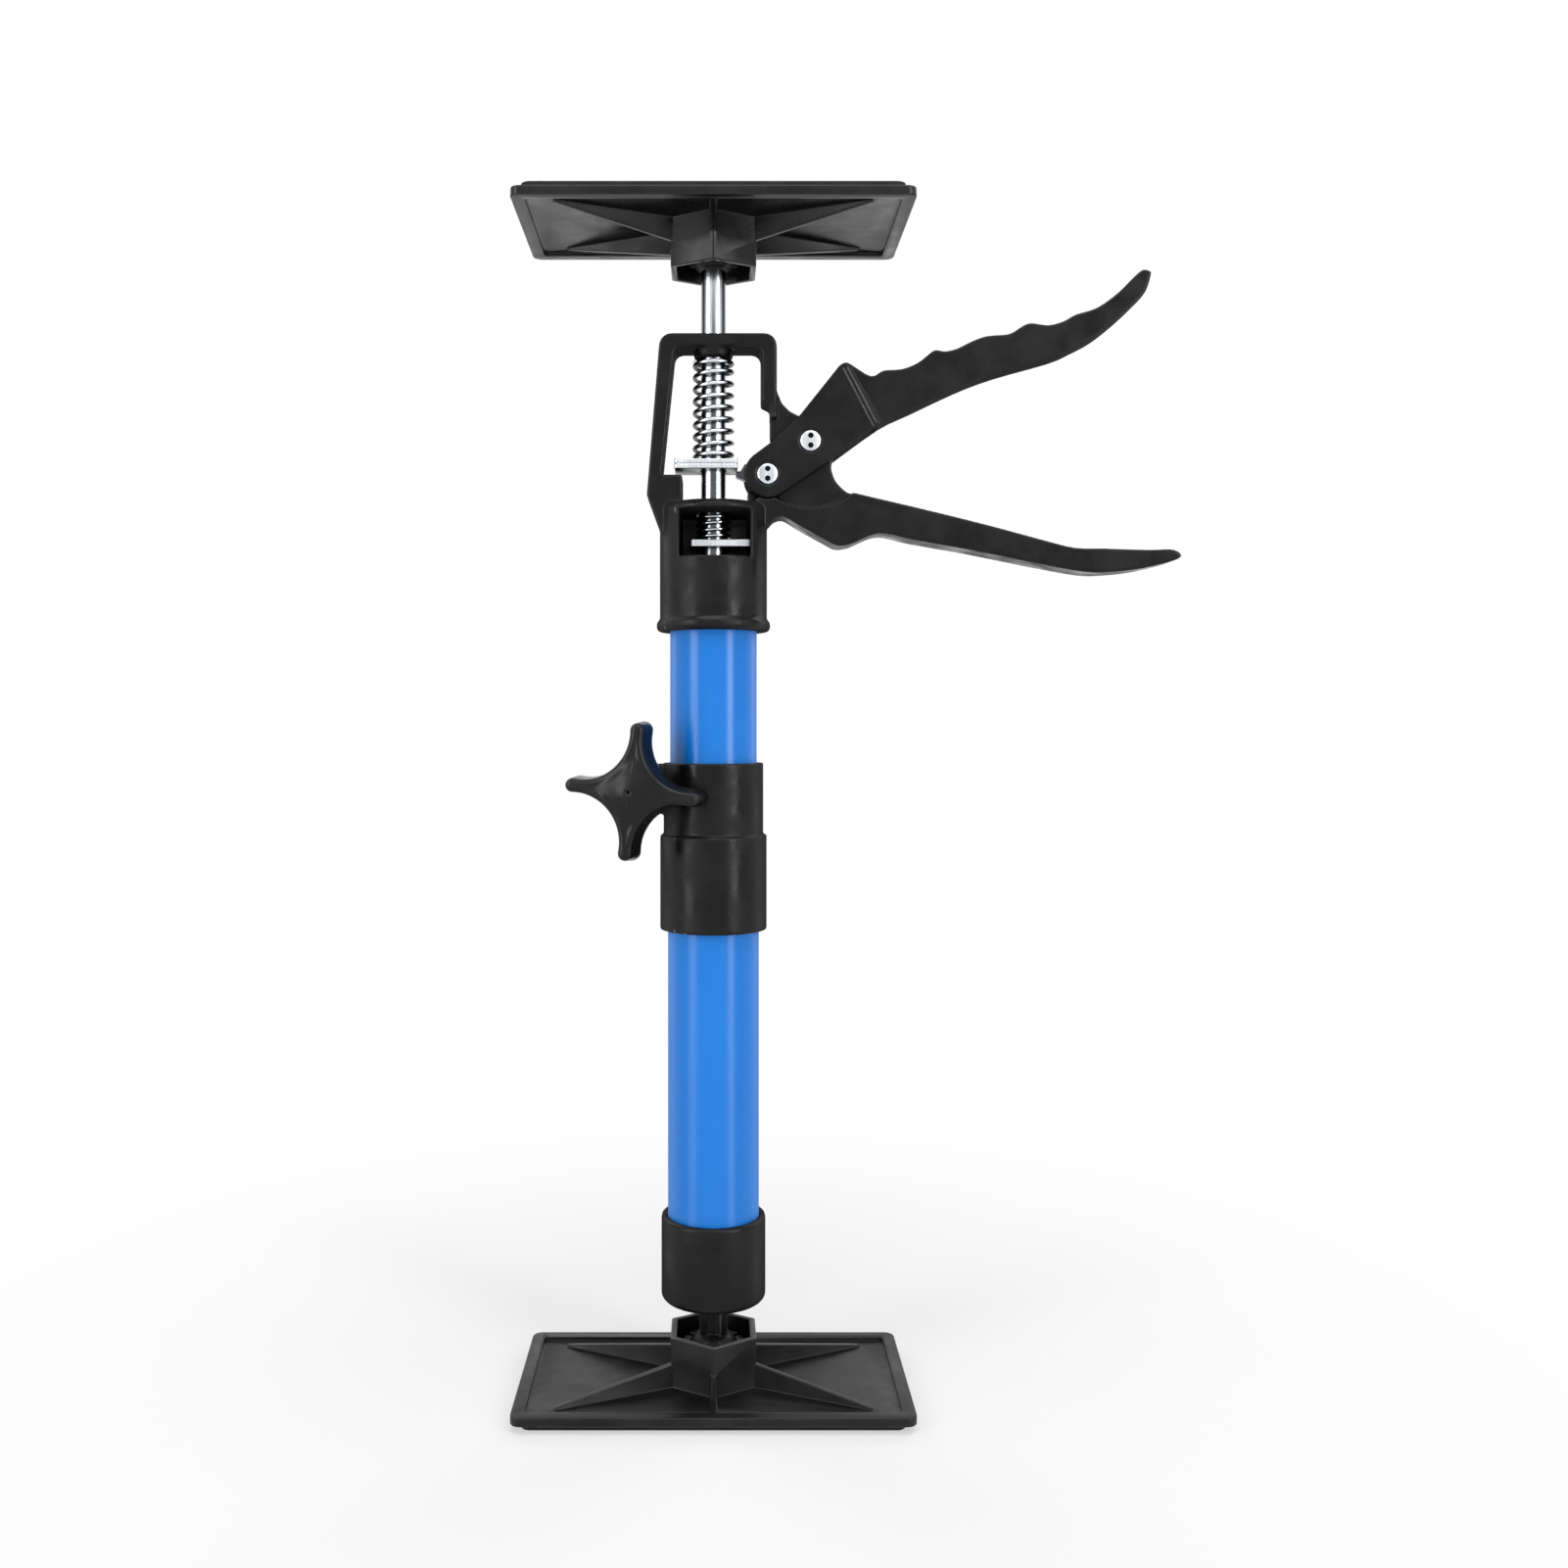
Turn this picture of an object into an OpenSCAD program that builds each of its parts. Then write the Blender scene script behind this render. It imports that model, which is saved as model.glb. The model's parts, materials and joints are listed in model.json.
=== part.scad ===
// Telescopic drywall support pole: two tubes, a squeeze lift head with a sprung clutch on a steel rod,
// a knob clamp between the tubes and a tilting pad at each end.
// The origin is on the pole's axis at the foot pad's resting face.
// +Z is up the pole and the handles reach to +X.

/* [Pads] */
// Length of a pad's plate
pad_len = 118; // [100:1:140]
// Depth of a pad's plate
pad_depth = 60; // [50:1:72]
// Corner radius of a pad's plate
pad_corner = 3; // [1:0.5:6]
// Thickness of the plate
plate_t = 1.5; // [1.2:0.1:2.5]
// Height of the rim above the plate
rim_h = 1.2; // [0.6:0.1:2.5]
// Width of the rim
rim_w = 4; // [2:0.5:6]
// Thickness of the rubber mat
mat_t = 2.2; // [1.5:0.1:4]
// How far the mat's edge lies inside the plate's edge
mat_inset = 2.8; // [1:0.1:5]
// Width of the six-sided hub across its flats
hub_flats = 26; // [25:0.5:30]
// Wall of the hub
hub_wall = 1.8; // [1.4:0.1:2.2]
// Height of the hub's end above the pad's resting face
hub_end = 18.6; // [17:0.2:22]
// Height of the diagonal ribs at the hub
rib_h = 7.2; // [5:0.2:9]
// Thickness of the ribs
rib_t = 1.8; // [1.2:0.1:2.5]
// Half the spread of the diagonal ribs along the pad
rib_reach_x = 47; // [38:1:48]
// Half the spread of the diagonal ribs across the pad
rib_reach_y = 22; // [18:0.5:23]

/* [Ball joints] */
// Diameter of a ball
ball_d = 15; // [13:0.5:15.5]
// Height of the ball's centre above the pad's resting face
ball_up = 11.8; // [11.6:0.1:13]
// Gap between ball and socket
ball_gap = 0.3; // [0.2:0.05:0.5]
// Wall of the socket cup
cup_wall = 1.6; // [1.2:0.1:1.8]
// How far the cup's mouth lies past the ball's centre
cup_grip = 3.2; // [2.4:0.2:3.6]
// Width of the slits between the cup's fingers
cup_slit = 1.6; // [1:0.1:2.4]
// Diameter of the foot stud's neck
neck_d = 11; // [10:0.5:12]
// Thickness of the neck's cross ribs
neck_rib_t = 3; // [2:0.2:4]
// Distance from the foot ball's centre to the base cap
neck_len = 16.7; // [15:0.1:20]
// Diameter of the stud's spigot in the base cap
spigot_d = 12; // [10:0.5:14]

/* [Tubes] */
// Outer diameter of the lower tube
lower_d = 28; // [27.6:0.1:29]
// Wall of the tubes
tube_wall = 0.6; // [0.5:0.05:0.7]
// Running gap between the tubes
tube_gap = 0.05; // [0.03:0.01:0.1]
// Length of the lower tube
lower_len = 139.3; // [120:0.1:160]
// Length of the upper tube
upper_len = 180; // [160:0.5:180]
// Upper tube that shows between the clamp collar and the head
upper_show = 40.2; // [35:0.2:60]

/* [Base cap] */
// Outer diameter of the base cap
cap_d = 32; // [31:0.5:36]
// Height of the base cap
cap_h = 25.7; // [20:0.1:32]
// Thickness of the base cap's floor
cap_floor = 3; // [2.5:0.1:5]
// Fillet at the base cap's lower edge
cap_fillet = 1.8; // [0.8:0.1:1.9]

/* [Clamp] */
// Outer diameter of the collar's lower part
collar_low_d = 32.8; // [32:0.2:34]
// Height of the collar's lower part
collar_low_h = 29; // [22:0.5:34]
// Outer diameter of the collar's upper part
collar_high_d = 30.7; // [30.2:0.1:32]
// Height of the collar's upper part
collar_high_h = 22.1; // [20:0.1:28]
// Width of the slit in the collar's upper part
slit_w = 2.4; // [1.5:0.1:3.5]
// Thickness of each clamping ear
ear_t = 5; // [4:0.5:5.5]
// Radius of the ears' round ends
ear_r = 7.6; // [6.5:0.2:7.8]
// Distance from the pole's axis to the clamp bolt
bolt_off = 18.6; // [18.2:0.1:20]
// Diameter of the clamp bolt
bolt_d = 6; // [5:0.5:6.5]
// Height of the bolt above the collar's upper part's foot
bolt_up = 14; // [12:0.2:14.2]
// How far the clamp is turned about the pole, in degrees
clamp_turn = 13.5; // [0:0.5:20]
// Tip-to-tip diameter of the star knob
knob_d = 41; // [36:0.5:46]
// Thickness of the star knob at its middle
knob_t = 13; // [10:0.5:14]
// Diameter of the knob's arm ends
knob_tip_d = 4.4; // [4:0.2:6]
// Width of the knob's waist between two hollows
knob_waist = 18; // [15:0.5:20]
// Gap between the knob's arms and the collar's lower part
knob_gap = 1; // [0.6:0.1:2]

/* [Head] */
// Diameter of the head's sleeve
sleeve_d = 33; // [31:0.5:36]
// Diameter of the bead at the sleeve's foot
bead_d = 35; // [34:0.5:38]
// Height of the bead
bead_h = 3.7; // [2.5:0.1:5]
// Depth of the tube's socket in the head
socket_len = 19.5; // [15:0.5:22]
// Thickness of the shelf above the tube
shelf_t = 2.6; // [2:0.1:4]
// Width of the front window
window_w = 21.6; // [20.4:0.2:23]
// How far the window's middle lies to the right of the pole's axis
window_x = 0.4; // [0:0.1:1]
// Height of the front window
window_h = 14.4; // [14:0.2:18]
// Thickness of the bridge above the window
bridge_t = 2.6; // [2:0.1:4]
// Height of the frame above the bridge
frame_h = 51.5; // [48:0.5:60]
// Depth of the frame, front to back
frame_depth = 14; // [13.8:0.2:18]
// Height of the frame's top bar
top_bar = 3.8; // [3:0.2:6]
// Half width of the frame's opening at the top, left side
open_left = 12; // [11:0.2:13]
// Half width of the frame's opening at the top, right side
open_right = 14.7; // [13:0.2:16]
// Wall of the frame's posts
post_w = 4.6; // [3.6:0.2:6]
// How far the left post leans out at its foot
post_lean = 3.7; // [2:0.1:5]
// Thickness of the web between the trigger's cheeks
web_t = 6; // [5:0.2:7]
// Thickness of the fixed handle
handle_t = 12; // [10:0.5:14]
// Reach of the fixed handle from the trigger's pivot
handle_reach = 113; // [100:1:125]
// Drop of the fixed handle below the trigger's pivot
handle_drop = 40; // [36:0.5:44]

/* [Trigger] */
// Sideways distance of the pivot from the pole's axis
pivot_x = 29.6; // [28.6:0.1:31]
// Height of the pivot above the bridge
pivot_up = 18.9; // [18:0.1:20]
// Reach of the trigger from its pivot
trigger_reach = 104; // [92:1:116]
// Rise of the trigger above its pivot
trigger_rise = 52.3; // [48:0.5:56]
// Thickness of each cheek
cheek_t = 3; // [2:0.1:4]
// Gap between a cheek and the web
cheek_gap = 0.3; // [0.2:0.05:0.6]
// Thickness of the trigger's grip
grip_t = 11.4; // [10:0.2:12.4]
// Radius of the trigger's round nose
nose_r = 7.15; // [6.6:0.05:7.4]
// Diameter of the rivets' shanks
rivet_d = 4; // [3:0.2:4.4]
// Diameter of the rivets' heads
rivet_head_d = 6.2; // [5.6:0.1:6.6]
// Height of the rivets' heads above the cheek
rivet_head_h = 0.5; // [0.3:0.1:0.9]

/* [Clutch] */
// Diameter of the push rod
rod_d = 7.6; // [7:0.1:8]
// Thickness of a drive plate
drive_plate_t = 1.5; // [1.2:0.1:1.8]
// Width of the drive plates, front to back
drive_plate_w = 13; // [12:0.5:13.4]
// Left end of the drive plates from the pole's axis
drive_plate_left = 11.9; // [10:0.1:12.4]
// Right end of the drive plates from the pole's axis
drive_plate_right = 7.4; // [7:0.1:7.6]
// Height of the drive plates above the bridge
drive_plate_up = 10.4; // [9.6:0.1:11]
// Gap between a plate's hole and the rod
plate_hole_gap = 0.3; // [0.2:0.05:0.5]
// Outer diameter of the drive spring
drive_spring_d = 12.9; // [12:0.1:13.4]
// Wire of the drive spring
drive_wire = 1.35; // [1.1:0.05:1.6]
// Curls of the drive spring
drive_curls = 8.5; // [6:0.5:10]
// Thickness of the lock plate
lock_plate_t = 2.4; // [1.8:0.1:3]
// Width of the lock plate, front to back
lock_plate_w = 13; // [11:0.5:14]
// Height of the lock plate above the shelf
lock_plate_up = 3.5; // [3:0.1:4.5]
// Left end of the lock plate from the pole's axis
lock_plate_left = 7.4; // [6.4:0.1:8.4]
// Depth of the lock plate's seat in the window's right wall
lock_seat = 1.2; // [0.8:0.1:1.8]
// Outer diameter of the lock spring
lock_spring_d = 10.7; // [10.3:0.1:11.5]
// Wire of the lock spring
lock_wire = 1; // [0.8:0.05:1.2]
// Curls of the lock spring
lock_curls = 3.5; // [2.5:0.5:4]
// Rod between the frame's top and the upper pad's hub
rod_show = 20; // [18:0.2:30]
// Travel of the rod from rest up to its stop
rod_travel = 144.5; // [130:0.5:144.5]
// Diameter of the stop bush on the rod
stop_d = 14; // [11:0.5:20]
// Height of the stop bush
stop_h = 8; // [6:0.5:10]

/* [Hidden] */
$fn = 96;
// Overrun of every cut past the face it leaves
over = 1;
// Smallest gap between pieces that face each other at rest
seat_gap = 0.3;
// Radial running gap of a shaft in its hole
run_gap = 0.05;

// Heights up the pole
foot_ball_z = ball_up;
cap_z = foot_ball_z + neck_len;
lower_tube_z = cap_z + cap_floor;
collar_z = lower_tube_z + lower_len - collar_low_h;
collar_step_z = collar_z + collar_low_h;
collar_top_z = collar_step_z + collar_high_h;
bolt_z = collar_step_z + bolt_up;
head_z = collar_top_z + upper_show;
shelf_z = head_z + socket_len;
window_z = shelf_z + shelf_t;
bridge_z = window_z + window_h;
deck_z = bridge_z + bridge_t;
frame_top_z = deck_z + frame_h;
pivot_z = deck_z + pivot_up;
upper_tube_z = shelf_z - upper_len;
hub_end_z = frame_top_z + rod_show;
total_h = hub_end_z + hub_end;
top_ball_z = total_h - ball_up;
drive_plate_z = deck_z + drive_plate_up;
drive_spring_z = drive_plate_z + drive_plate_t * 2;
lock_plate_z = window_z + lock_plate_up;

// Radii and widths that follow
hub_r = hub_flats / 2 / cos(30);
socket_r = ball_d / 2 + ball_gap;
cup_r = socket_r + cup_wall;
upper_d = lower_d - (tube_wall + tube_gap) * 2;
window_right = window_x + window_w / 2;
cheek_y = web_t / 2 + cheek_gap;
trigger_w = (cheek_y + cheek_t) * 2;
foot_x = open_right * 0.71;
ledge_x = open_left * 0.79;
ledge_up = pivot_up * 0.45;
post_foot_z = pivot_z + nose_r;
step_z = pivot_z + pivot_up * 0.65;
spring_boss_h = top_bar * 0.7;
groove_t = bead_h / 8;
cheek_sweep_r = nose_r * 2.84;
slot_back = cheek_t * 0.4;
stop_z = shelf_z - rod_travel - seat_gap - stop_h;
rod_tail = stop_h;
nut_flats = bolt_d / 0.6;
nut_t = bolt_d / 1.2;
washer_d = bolt_d * 2;
washer_t = bolt_d / 5;
ear_out = slit_w / 2 + ear_t;
knob_back = collar_low_d / 2 + knob_gap;
knob_front = knob_back + knob_t;
rod_z = stop_z - rod_tail;

// Points shared by the sweep, spline and arc shapes
function unit(v) = v / norm(v);
function arc(c, r, a0, a1, n) =
    [for (i = [0:n]) c + r * [cos(a0 + (a1 - a0) * i / n), sin(a0 + (a1 - a0) * i / n)]];
function scaled(shares, size) = [for (s = shares) [s[0] * size[0], s[1] * size[1]]];
function bend(a, b, c, d, t) =
    (b * 2 + (c - a) * t + (a * 2 - b * 5 + c * 4 - d) * t * t + (b * 3 - a - c * 3 + d) * t * t * t) / 2;
function spline(p, steps) = let (last = len(p) - 1)
    [for (i = [0:last - 1]) for (k = [0:steps - 1])
        bend(p[max(i - 1, 0)], p[i], p[i + 1], p[min(i + 2, last)], k / steps),
     p[last]];

// A plate with round corners, standing on z = 0
module round_plate(size, height, r) {
    x = size[0] / 2 - r;
    y = size[1] / 2 - r;
    linear_extrude(height)
        polygon(concat(arc([x, y], r, 0, 90, 6), arc([-x, y], r, 90, 180, 6),
                       arc([-x, -y], r, 180, 270, 6), arc([x, -y], r, 270, 360, 6)));
}

// A flat outline in X and Z, made solid from y = -depth/2 to y = depth/2
module side_plate(depth) {
    rotate([90, 0, 0])
        linear_extrude(depth, center = true) children();
}

// A round bar or hole along Y at a place in X and Z
module cross_bar(at, d, depth) {
    translate([at[0], 0, at[1]])
        rotate([90, 0, 0]) cylinder(h = depth, d = d, center = true);
}

// Pads: both are the same moulding, here with the resting face at z = 0 and the hub pointing up
module rib(from, to, foot) {
    along = unit(to - from);
    side = [-along[1], along[0]] * rib_t / 2;
    a = from + side;
    b = from - side;
    c = to + side;
    d = to - side;
    z0 = foot - seat_gap;
    top = foot + rib_h;
    end = foot + rim_h / 2;
    polyhedron([[a[0], a[1], z0], [b[0], b[1], z0], [d[0], d[1], z0], [c[0], c[1], z0],
                [a[0], a[1], top], [b[0], b[1], top], [d[0], d[1], end], [c[0], c[1], end]],
               [[0, 1, 2, 3], [4, 7, 6, 5], [0, 4, 5, 1], [1, 5, 6, 2], [2, 6, 7, 3], [3, 7, 4, 0]]);
}

module pad() {
    deck = mat_t + plate_t;
    inner = [pad_len - rim_w * 2, pad_depth - rim_w * 2];
    translate([0, 0, mat_t]) round_plate([pad_len, pad_depth], plate_t, pad_corner);
    translate([0, 0, mat_t])
        difference() {
            round_plate([pad_len, pad_depth], plate_t + rim_h, pad_corner);
            translate([0, 0, plate_t]) round_plate(inner, rim_h + over, pad_corner / 2);
        }
    difference() {
        union() {
            difference() {
                translate([0, 0, deck - seat_gap]) rotate([0, 0, 30])
                    cylinder(h = hub_end - deck + seat_gap, r = hub_r, $fn = 6);
                translate([0, 0, deck]) rotate([0, 0, 30])
                    cylinder(h = hub_end, r = hub_r - hub_wall / cos(30), $fn = 6);
            }
            cylinder(h = ball_up + cup_grip, r = cup_r);
            for (k = [0:5]) rotate([0, 0, k * 60])
                translate([cup_r - cup_wall / 2, -rib_t / 2, deck - seat_gap])
                    cube([hub_flats / 2 - hub_wall / 2 - cup_r + cup_wall / 2, rib_t, ball_up - deck]);
        }
        translate([0, 0, ball_up]) sphere(r = socket_r);
        translate([0, 0, ball_up])
            cylinder(h = cup_grip + over, r = sqrt(socket_r * socket_r - cup_grip * cup_grip));
        for (k = [0:2]) rotate([0, 0, 30 + k * 60])
            translate([-cup_r - over / 2, -cup_slit / 2, ball_up - cup_grip / 2])
                cube([cup_r * 2 + over, cup_slit, cup_grip * 2]);
        translate([0, 0, -over]) cylinder(h = mat_t + over, r = cup_r + over);
    }
    for (sx = [-1, 1]) {
        for (sy = [-1, 1]) {
            from = [sx * (hub_flats / 2 - hub_wall / 2), sy * (hub_r / 2 - hub_wall / 2)];
            rib(from, [sx * rib_reach_x, sy * rib_reach_y], deck);
        }
        rib([0, sx * (hub_r - hub_wall)], [0, sx * (pad_depth / 2 - rim_w / 2)], deck);
    }
}

module mat() {
    round_plate([pad_len - mat_inset * 2, pad_depth - mat_inset * 2], mat_t, pad_corner);
}

module foot_mat() {
    color("#1c1c1e") mat();
}

module foot_pad() {
    color("#2a2a2d") pad();
}

module top_pad() {
    color("#2a2a2d") translate([0, 0, total_h]) mirror([0, 0, 1]) pad();
}

module top_mat() {
    color("#1c1c1e") translate([0, 0, total_h]) mirror([0, 0, 1]) mat();
}

// Foot ball stud: ball, cross-ribbed neck and a spigot that turns in the base cap
module foot_ball_stud() {
    neck_low = ball_d / 2 - cup_grip / 2;
    color("#222225") {
        translate([0, 0, foot_ball_z]) sphere(d = ball_d);
        translate([0, 0, foot_ball_z + cup_grip])
            cylinder(h = neck_len - cup_grip + seat_gap, d = neck_d - neck_rib_t);
        intersection() {
            union() {
                for (a = [45, 135]) rotate([0, 0, a])
                    translate([-neck_d / 2, -neck_rib_t / 2, foot_ball_z])
                        cube([neck_d, neck_rib_t, neck_len - seat_gap]);
            }
            translate([0, 0, foot_ball_z + neck_low])
                cylinder(h = neck_len - neck_low, d1 = neck_d - neck_rib_t / 2, d2 = neck_d);
        }
        translate([0, 0, cap_z + seat_gap]) cylinder(h = cap_floor - seat_gap * 2, d = spigot_d);
        translate([0, 0, cap_z - seat_gap])
            cylinder(h = cap_floor + seat_gap * 2, d = spigot_d - neck_rib_t);
        translate([0, 0, cap_z + cap_floor + seat_gap])
            cylinder(h = cap_floor / 2, d = spigot_d + neck_rib_t);
    }
}

module base_cap() {
    r = cap_d / 2;
    color("#2b2b2e") difference() {
        rotate_extrude()
            polygon(concat([[0, cap_z]], arc([r - cap_fillet, cap_z + cap_fillet], cap_fillet, -90, 0, 8),
                           [[r, cap_z + cap_h - cap_fillet / 3], [r - cap_fillet / 3, cap_z + cap_h],
                            [0, cap_z + cap_h]]));
        translate([0, 0, lower_tube_z]) cylinder(h = cap_h, d = lower_d + tube_gap * 2);
        translate([0, 0, cap_z - over]) cylinder(h = cap_floor + over * 2, d = spigot_d + run_gap * 2);
    }
}

// Tubes
module tube(z, length, d) {
    translate([0, 0, z]) difference() {
        cylinder(h = length, d = d);
        translate([0, 0, -over]) cylinder(h = length + over * 2, d = d - tube_wall * 2);
    }
}

module lower_tube() {
    color("#2f86e8") tube(lower_tube_z, lower_len, lower_d);
}

module upper_tube() {
    color("#2f86e8") tube(upper_tube_z, upper_len, upper_d);
}

// The clamp's own frame: its +X runs out to the bolt, its +Y runs along the bolt away from the knob
module clamp_frame() {
    rotate([0, 0, 180 - clamp_turn]) mirror([0, 1, 0]) children();
}

module along_bolt(from, length, d) {
    translate([bolt_off, from, bolt_z]) rotate([-90, 0, 0]) cylinder(h = length, d = d);
}

module clamp_collar() {
    color("#2b2b2e") difference() {
        union() {
            translate([0, 0, collar_z]) cylinder(h = collar_low_h, d = collar_low_d);
            translate([0, 0, collar_step_z]) cylinder(h = collar_high_h, d = collar_high_d);
            clamp_frame() {
                along_bolt(-ear_out, ear_out * 2, ear_r * 2);
                translate([0, -ear_out, bolt_z - ear_r]) cube([bolt_off, ear_out * 2, ear_r * 2]);
            }
        }
        translate([0, 0, collar_z - over]) cylinder(h = collar_low_h + over, d = lower_d + tube_gap * 2);
        translate([0, 0, collar_z])
            cylinder(h = collar_low_h + collar_high_h + over, d = upper_d + run_gap * 2);
        clamp_frame() {
            translate([0, -slit_w / 2, collar_step_z + tube_wall])
                cube([bolt_off + ear_r + over, slit_w, collar_high_h + over]);
            along_bolt(-ear_out - over, ear_out * 2 + over * 2, bolt_d + run_gap * 4);
            along_bolt(-knob_back, knob_back - ear_out, washer_d + seat_gap * 2);
            translate([bolt_off, ear_out - nut_t / 2, bolt_z]) rotate([-90, 0, 0])
                cylinder(h = nut_t, d = (nut_flats + seat_gap * 2) / cos(30), $fn = 6);
        }
    }
}

module clamp_nut() {
    color("#b9bcc2") clamp_frame() difference() {
        translate([bolt_off, ear_out - nut_t / 2, bolt_z]) rotate([-90, 0, 0])
            cylinder(h = nut_t, d = nut_flats / cos(30), $fn = 6);
        along_bolt(ear_out - nut_t, nut_t * 2, bolt_d + run_gap * 2);
    }
}

module clamp_washer() {
    color("#b9bcc2") clamp_frame() difference() {
        along_bolt(-ear_out - seat_gap - washer_t, washer_t, washer_d);
        along_bolt(-ear_out - seat_gap - washer_t - over, washer_t + over * 2, bolt_d + run_gap * 2);
    }
}

module clamp_bolt() {
    tail = ear_out + nut_t / 2 + bolt_d / 4;
    color("#b9bcc2") clamp_frame()
        along_bolt(-knob_back - knob_t / 2, knob_back + knob_t / 2 + tail, bolt_d);
}

// Star knob: four arms with hollows between them, domed front and a boss that reaches back to the washer
// The hollows are arcs that run smoothly into the round arm ends and leave the knob's waist between them.
function star(grow) = let (
    tip = knob_tip_d / 2,
    reach = knob_d / 2 - tip,
    deep = knob_waist / 2 - tip,
    away = (reach * reach - deep * deep) / (reach * sqrt(2) - deep * 2),
    lean = atan2(away * sin(45), away * cos(45) - reach))
    [for (arm = [0:90:270]) each concat(
        arc([cos(arm), sin(arm)] * reach, tip + grow, arm - lean, arm + lean, 8),
        [for (p = arc([cos(arm + 45), sin(arm + 45)] * away, away - knob_waist / 2 - grow,
                      arm + 180 + lean, arm + 270 - lean, 10)) p])];

module clamp_knob() {
    dome = knob_t / 6;
    flare = knob_tip_d / 5;
    color("#2b2b2e") clamp_frame() difference() {
        union() {
            translate([bolt_off, -knob_back, bolt_z]) rotate([90, -6, 0]) {
                linear_extrude(knob_t / 3) polygon(star(flare / 2));
                translate([0, 0, knob_t / 6]) linear_extrude(knob_t / 2) polygon(star(0));
                translate([0, 0, knob_t / 3]) linear_extrude(knob_t / 3 + dome) polygon(star(-flare / 2));
                translate([0, 0, knob_t / 3]) cylinder(h = knob_t / 3 + dome, d = knob_d * 0.4);
                translate([0, 0, knob_t * 2 / 3 + dome])
                    cylinder(h = knob_t / 6, d1 = knob_d * 0.4, d2 = knob_d / 5);
            }
            along_bolt(-knob_back - over, knob_back + over - ear_out - seat_gap * 2 - washer_t, washer_d);
        }
        along_bolt(-knob_back - knob_t / 2 - run_gap, knob_back + knob_t, bolt_d + run_gap * 2);
        along_bolt(-knob_front - over, over + dome / 2, bolt_d / 5);
    }
}

// Head outlines, in X and Z from the trigger's pivot, as shares of the handle's reach and drop
handle_top_shares = [[0.057, -0.19], [0.069, -0.292], [0.098, -0.375], [0.122, -0.398], [0.263, -0.492],
    [0.395, -0.582], [0.51, -0.665], [0.634, -0.76], [0.715, -0.815], [0.797, -0.82], [0.913, -0.83],
    [0.969, -0.825], [0.995, -0.85], [1, -0.88]];
handle_low_shares = [[1, -0.88], [0.98, -0.912], [0.895, -0.972], [0.81, -1], [0.742, -1], [0.616, -0.938],
    [0.446, -0.84], [0.277, -0.755], [0.21, -0.71], [0.175, -0.71], [0.142, -0.745], [0.108, -0.788],
    [0.074, -0.8], [0.049, -0.77], [-0.035, -0.638], [-0.071, -0.578], [-0.096, -0.59], [-0.112, -0.638]];
handle_size = [handle_reach, handle_drop];
handle_root = [[foot_x - pivot_x, -pivot_up - bridge_t - window_h / 2], [foot_x - pivot_x, -pivot_up],
               [-nose_r * 1.4, -nose_r * 2], [nose_r / 2, -nose_r]];

// Trigger outline, as shares of its reach and rise from the pivot
trigger_top_shares = [[0.084, 0.437], [0.105, 0.458], [0.124, 0.44], [0.178, 0.377], [0.214, 0.411],
    [0.267, 0.419], [0.313, 0.454], [0.348, 0.508], [0.366, 0.531], [0.393, 0.523], [0.429, 0.538],
    [0.473, 0.581], [0.518, 0.612], [0.581, 0.623], [0.616, 0.663], [0.644, 0.687], [0.697, 0.675],
    [0.742, 0.698], [0.777, 0.737], [0.84, 0.777], [0.903, 0.867], [0.948, 0.956], [0.976, 1],
    [1, 0.985]];
trigger_low_shares = [[1, 0.985], [0.982, 0.871], [0.936, 0.769], [0.853, 0.631], [0.78, 0.55],
    [0.714, 0.494], [0.55, 0.402], [0.439, 0.319], [0.301, 0.19], [0.205, 0.098], [0.071, -0.094]];
trigger_size = [trigger_reach, trigger_rise];
// The nose rivet and the ridge between cheeks and grip, from the pivot
nose_shares = [[-0.126, -0.193]];
nose_at = scaled(nose_shares, trigger_size)[0];
ridge_shares = [[0.1, 0.47], [0.207, 0.09]];
// Left edge of the cheeks between nose and ear, from the pivot, as shares of the nose's radius
cheek_edge_shares = [[-1.62, -0.014], [-0.46, 1.09]];
// Web between the cheeks, from the pivot, as shares of the pivot's place over the bridge
web_shares = [[-0.412, 0.85], [-0.35, 0.95], [-0.345, 0.85], [-0.29, 0.64], [-0.21, 0.51], [-0.11, 0.43],
    [0.08, 0.45], [0.2, 0.38], [0.27, 0.2], [0.28, -0.1], [0.23, -0.3], [0.22, -0.42], [0.2, -1.1],
    [-0.645, -1.1], [-0.645, -0.8], [-0.25, -0.8], [-0.22, -0.3], [-0.3, -0.02], [-0.412, 0.05]];
// Finger of the pawl, from the pivot, as shares of the nose's radius
pawl_shares = [[-1.8, -0.86], [-2.8, -0.923], [-2.98, -1.23], [-3.17, -1.23], [-3.17, -1.43], [-1.83, -1.96]];

module handle_outline() {
    polygon(concat(spline(scaled(handle_top_shares, handle_size), 3),
                   spline(scaled(handle_low_shares, handle_size), 3), handle_root));
}

module trigger_outline() {
    polygon(concat(spline(scaled(trigger_top_shares, trigger_size), 3),
                   spline(scaled(trigger_low_shares, trigger_size), 3),
                   arc(nose_at, nose_r, -60, -232, 12), scaled(cheek_edge_shares, [nose_r, nose_r])));
}

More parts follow.
